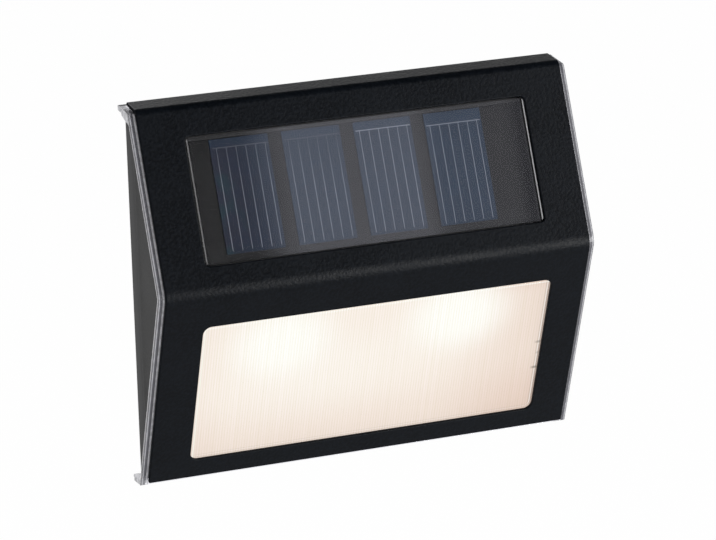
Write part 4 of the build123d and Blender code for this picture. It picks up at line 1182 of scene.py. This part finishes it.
class STEPLIGHT_OT_screws(StepLightOperator, bpy.types.Operator):
    """Builds the self-tapping screws with cross recesses and threads"""

    bl_idname = "steplight.screws"
    bl_label = "Screws"

    head_radius = 2.1 * MM
    head_height = 1.15 * MM
    shank = 1.0 * MM
    thread_turns = 5
    steps = 28

    def build(self, sizes, colours, side):
        finish = plated("screw_plate", (0.66, 0.65, 0.62), 0.26)
        for node, body in (("back_screws", "light"), ("door_screws", "battery_cover")):
            for number, place in enumerate(self.places(node)):
                screw = piece_from(self.screw(place), f"{node[:-1]}_{number + 1}")
                carve(screw, [self.recess(place)])
                soften(screw, 0.05 * MM, 2, 40)
                settle(screw, body, finish, [node])

    def places(self, node):
        """Heads of a CAD node's screws: the outer face's centre, Z pointing out of the back."""
        low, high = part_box(node)
        xs = (low.x + self.head_radius, high.x - self.head_radius)
        zs = {round(z, 5) for z in (low.z + self.head_radius, high.z - self.head_radius)}
        outwards = Matrix.Rotation(math.radians(-90), 4, "X")
        return [Matrix.Translation((x, high.y, z)) @ outwards for x in xs for z in sorted(zs)]

    def screw(self, place):
        """Pan head, smooth neck, thread rings and a point, turned in one profile."""
        low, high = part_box("back_screws")
        tip = low.y - high.y
        radius, height, shank = self.head_radius, self.head_height, self.shank
        profile = [(0, 0), (radius * 0.72, 0), (radius * 0.92, -0.12 * height), (radius, -0.34 * height)]
        profile += [(radius, -height), (shank, -height)]
        start, end = -height - 0.6 * MM, tip + 0.9 * MM
        pitch = (end - start) / self.thread_turns
        root = shank * 0.78
        for turn in range(self.thread_turns):
            top = start + pitch * turn
            profile += [(root, top), (shank, top + pitch * 0.5), (root, top + pitch * 0.98)]
        profile += [(shank * 0.5, tip), (0, tip)]
        return turned(profile, place, self.steps)

    def recess(self, place):
        """A cross, sunk from the head's outer face."""
        reach, half = 1.25 * MM, 0.28 * MM
        outline = []
        for quarter in range(4):
            turn = Matrix.Rotation(math.pi / 2 * quarter, 2)
            outline += [turn @ Vector(corner) for corner in ((half, half), (half, reach), (-half, reach))]
        return plate(outline, place, -0.75 * MM, 0.2 * MM)


class STEPLIGHT_OT_electrics(StepLightOperator, bpy.types.Operator):
    """Gives the inner parts, battery and contacts their finishes, and winds the spring"""

    bl_idname = "steplight.electrics"
    bl_label = "Electrics"

    nickel = (0.72, 0.7, 0.64)
    tin = (0.75, 0.75, 0.74)

    def build(self, sizes, colours, side):
        grain = {"grain_size": 0.8 * MM, "depth": 0.006 * MM}
        dress("reflector", moulded("white_plastic", (0.78, 0.77, 0.74), gloss=0.22, **grain))
        dress("led_board", board_mask("board_mask", (0.72, 0.72, 0.68)))
        self.small_parts(sizes, side)
        dress("contact_plates", plated("contact_nickel", self.nickel, 0.22))
        self.spring()

    def small_parts(self, sizes, side):
        """Finishes of the small parts that show two materials each."""

        def from_middle(node, y, z):
            low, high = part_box(node)
            middle = (low + high) / 2
            return side.lower_drop(y, z) - side.lower_drop(middle.y, middle.z)

        def cup(graph, x, y, z):
            across, along = abs(x) - sizes.led_spacing / 2, from_middle("leds", y, z)
            return graph.ramp((across * across + along * along) ** 0.5, 1.2 * MM, 1.1 * MM)

        def legs(graph, x, y, z):
            return graph.ramp(abs(from_middle("driver_chip", y, z)), 1.93 * MM, 1.98 * MM)

        def wires(graph, x, y, z):
            return graph.ramp(abs(x - 18 * MM), 3.45 * MM, 3.55 * MM)

        def caps(graph, x, y, z):
            low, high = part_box("battery")
            half = (high.x - low.x) / 2
            return graph.ramp(abs(x - (low.x + high.x - 0.8 * MM) / 2), half - 1.0 * MM, half - 0.9 * MM)

        def foot(graph, x, y, z):
            low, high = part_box("capacitor")
            above = side.lower_depth(high.y, low.z) - side.lower_depth(y, z)
            return graph.ramp(above, 3.7 * MM, 3.9 * MM)

        black, metal_ends = (0.02, 0.02, 0.021), (0.0, 1.0)
        for node, name, pick, shades, gloss, metal in (
            ("leds", "led_body", cup, ((0.8, 0.8, 0.77), (0.78, 0.55, 0.08)), (0.35, 0.15), (0.0, 0.0)),
            ("driver_chip", "chip_body", legs, (black, self.tin), (0.5, 0.28), metal_ends),
            ("choke", "choke_body", wires, ((0.09, 0.2, 0.1), self.tin), (0.28, 0.28), metal_ends),
            ("capacitor", "capacitor_body", foot, ((0.72, 0.72, 0.73), black), (0.3, 0.5), (1.0, 0.0)),
            ("battery", "battery_body", caps, ((0.05, 0.2, 0.08), self.nickel), (0.25, 0.25), metal_ends),
        ):
            dress(node, two_part(name, pick, shades, gloss, metal))

    def spring(self):
        """Cone-shaped coil of round wire between the left contact and the battery."""
        low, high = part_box("battery_spring")
        cell_low, cell_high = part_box("battery")
        centre = (cell_low + cell_high) / 2
        wire, turns, per_turn, sides = 0.25 * MM, 3, 36, 10
        start, stop = low.x + wire, high.x - wire
        base, tip = 3.7 * MM, 2.3 * MM
        along = Vector((1, 0, 0))
        coil = bmesh.new()
        rings = []
        for step in range(turns * per_turn + 1):
            part = step / (turns * per_turn)
            angle = 2 * math.pi * turns * part
            outwards = Vector((0, math.cos(angle), math.sin(angle)))
            point = Vector((start + (stop - start) * part, centre.y, centre.z))
            point += outwards * (base + (tip - base) * part)
            section = circle(wire, sides, 0)
            rings.append([coil.verts.new(point + outwards * p.x + along * p.y) for p in section])
        for one, other in zip(rings, rings[1:]):
            bridge(coil, one, other)
        for end in (rings[0], rings[-1]):
            coil.faces.new(end)
        spring = piece_from(coil, "coil_spring")
        soften(spring, 0.05 * MM, 2, 60)
        finish = plated("spring_nickel", (0.7, 0.68, 0.62), 0.2)
        settle(spring, "light", finish, ["battery_spring"])


class STEPLIGHT_OT_leads(StepLightOperator, bpy.types.Operator):
    """Gives the insulated leads their finishes"""

    bl_idname = "steplight.leads"
    bl_label = "Leads"

    def build(self, sizes, colours, side):
        low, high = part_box("solar_leads")
        self.pair("solar", (low.x + high.x) / 2)
        self.pair("battery", 0.0)
        dress("switch_leads", enamel("switch_insulation", (0.55, 0.36, 0.02), 0.35))

    def pair(self, name, middle):
        """A black lead left of the middle and a red one right of it."""

        def pick(graph, x, y, z):
            return graph.ramp(x - middle, -0.05 * MM, 0.05 * MM)

        black, red = (0.012, 0.012, 0.013), (0.35, 0.02, 0.015)
        dress(f"{name}_leads", two_part(f"{name}_insulation", pick, (black, red), (0.35, 0.35)))


class STEPLIGHT_OT_stage(StepLightOperator, bpy.types.Operator):
    """Builds the floor, the lights and the camera"""

    bl_idname = "steplight.stage"
    bl_label = "Stage"

    azimuth = math.radians(-22.298)
    elevation = math.radians(15.192)
    roll = math.radians(-1.663)
    aim = Vector((-5.92, -24.69, 5.30)) * MM
    distance = 1.01279
    lens = 196.505
    floor_below = 0.30
    floor_white = 0.985
    soft_light = 0.5
    ceiling_shade = 0.95

    # Name, place, width and height in metres, and power in watts
    lamps = (
        ("fold_strip", (0.44, -0.78, -0.06), (0.26, 0.40), 4.2),
        ("right_front", (0.75, -0.62, 0.40), (0.35, 0.40), 2.9),
        ("lip_back", (-0.02, 0.74, 0.50), (0.32, 0.30), 2.2),
        ("left_fill", (-1.1, -0.35, 0.3), (0.6, 0.9), 2.0),
    )
    lamp_aim = Vector((0, -0.01, 0))

    def build(self, sizes, colours, side):
        self.floor(colours)
        for row in self.lamps:
            self.lamp(*row)
        self.world()
        self.camera()
        bpy.context.scene.view_settings.view_transform = "Standard"

    def floor(self, colours):
        """Pale floor that catches the shadow, and looks white to the camera and in gloss and glass."""
        graph = Graph("floor_paint")
        where, _ = graph.place()
        mottle = graph.noise(where, 0.05)
        pale = graph.surface(Base_Color=colours.floor, Roughness=graph.ramp(mottle, 0.3, 0.7, 0.6, 0.7))
        white = graph.node("ShaderNodeEmission", {}, {"Color": rgba((1, 1, 1)), "Strength": 1.0})
        seen = ray(graph, "Camera").maths("MAXIMUM", ray(graph, "Glossy"))
        seen = seen.maths("MAXIMUM", ray(graph, "Transmission"))
        surface = bmesh.new()
        bmesh.ops.create_grid(surface, x_segments=8, y_segments=8, size=4.0)
        floor = piece_from(surface, "floor")
        floor.location = (0, 0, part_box("clear_lens")[0].z - self.floor_below)
        floor.data.materials.append(graph.finish(graph.mixed(seen * self.floor_white, pale, white)))

    def lamp(self, name, place, size, power):
        lamp = bpy.data.lights.new(name, "AREA")
        lamp.shape = "RECTANGLE"
        lamp.size, lamp.size_y = size
        lamp.energy = power
        holder = bpy.data.objects.new(name, lamp)
        holder.location = place
        holder.rotation_euler = (self.lamp_aim - Vector(place)).to_track_quat("-Z", "Y").to_euler()
        bpy.context.scene.collection.objects.link(holder)

    def world(self):
        """White all round for the camera, glass and gloss, but for a dark ceiling over the shiny parts."""
        graph = Graph("studio", bpy.data.worlds.new("studio"))
        height = graph.parts(graph.node("ShaderNodeTexCoord", output="Generated"))[2]
        ceiling = graph.ramp(height, 0.34, 0.62)
        gloss = ray(graph, "Glossy")
        clear = ray(graph, "Camera").maths("MAXIMUM", ray(graph, "Transmission"))
        other = gloss * (1.0 - ceiling * self.ceiling_shade) + (1.0 - gloss) * self.soft_light
        inputs = {"Color": rgba((1, 1, 1)), "Strength": clear + (1.0 - clear) * other}
        background = graph.node("ShaderNodeBackground", {}, inputs)
        bpy.context.scene.world = graph.finish(background, "ShaderNodeOutputWorld")

    def camera(self):
        """Camera of the photograph, given by where it stands and the point it looks at."""
        cos_a, sin_a = math.cos(self.azimuth), math.sin(self.azimuth)
        cos_e, sin_e = math.cos(self.elevation), math.sin(self.elevation)
        back = Vector((sin_a * cos_e, -cos_a * cos_e, sin_e))
        right = Matrix.Rotation(self.roll, 3, back) @ Vector((cos_a, sin_a, 0))
        camera = bpy.data.cameras.new("photo_camera")
        camera.sensor_width = 36.0
        camera.lens = self.lens
        camera.clip_start = 0.05
        camera.dof.use_dof = False
        holder = bpy.data.objects.new("photo_camera", camera)
        turn = Matrix((right, back.cross(right), back)).transposed().to_4x4()
        holder.matrix_world = Matrix.Translation(self.aim + back * self.distance) @ turn
        bpy.context.scene.collection.objects.link(holder)
        bpy.context.scene.camera = holder


def ray(graph, kind):
    """1 for rays of this kind, such as those from the camera."""
    return graph.node("ShaderNodeLightPath", output=f"Is {kind} Ray")


OPERATORS = (
    STEPLIGHT_OT_cover,
    STEPLIGHT_OT_clear_moulding,
    STEPLIGHT_OT_glow,
    STEPLIGHT_OT_solar_panel,
    STEPLIGHT_OT_housing,
    STEPLIGHT_OT_back,
    STEPLIGHT_OT_screws,
    STEPLIGHT_OT_electrics,
    STEPLIGHT_OT_leads,
    STEPLIGHT_OT_stage,
)


class STEPLIGHT_PT_panel(bpy.types.Panel):
    """Lists the pieces of the step light"""

    bl_idname = "STEPLIGHT_PT_panel"
    bl_label = "Solar Step Light"
    bl_space_type = "VIEW_3D"
    bl_region_type = "UI"
    bl_category = "Step Light"

    def draw(self, context):
        for operator in OPERATORS:
            self.layout.operator(operator.bl_idname)
        for group in (context.scene.step_light_sizes, context.scene.step_light_colours):
            box = self.layout.box()
            for name in group.__annotations__:
                box.prop(group, name)


CLASSES = (StepLightSizes, StepLightColours, *OPERATORS, STEPLIGHT_PT_panel)


def register():
    for kind in CLASSES:
        bpy.utils.register_class(kind)
    bpy.types.Scene.step_light_sizes = PointerProperty(type=StepLightSizes)
    bpy.types.Scene.step_light_colours = PointerProperty(type=StepLightColours)


def unregister():
    del bpy.types.Scene.step_light_colours
    del bpy.types.Scene.step_light_sizes
    for kind in reversed(CLASSES):
        bpy.utils.unregister_class(kind)


def main():
    register()
    for operator in OPERATORS:
        group, name = operator.bl_idname.split(".")
        getattr(getattr(bpy.ops, group), name)()


if __name__ == "__main__":
    main()
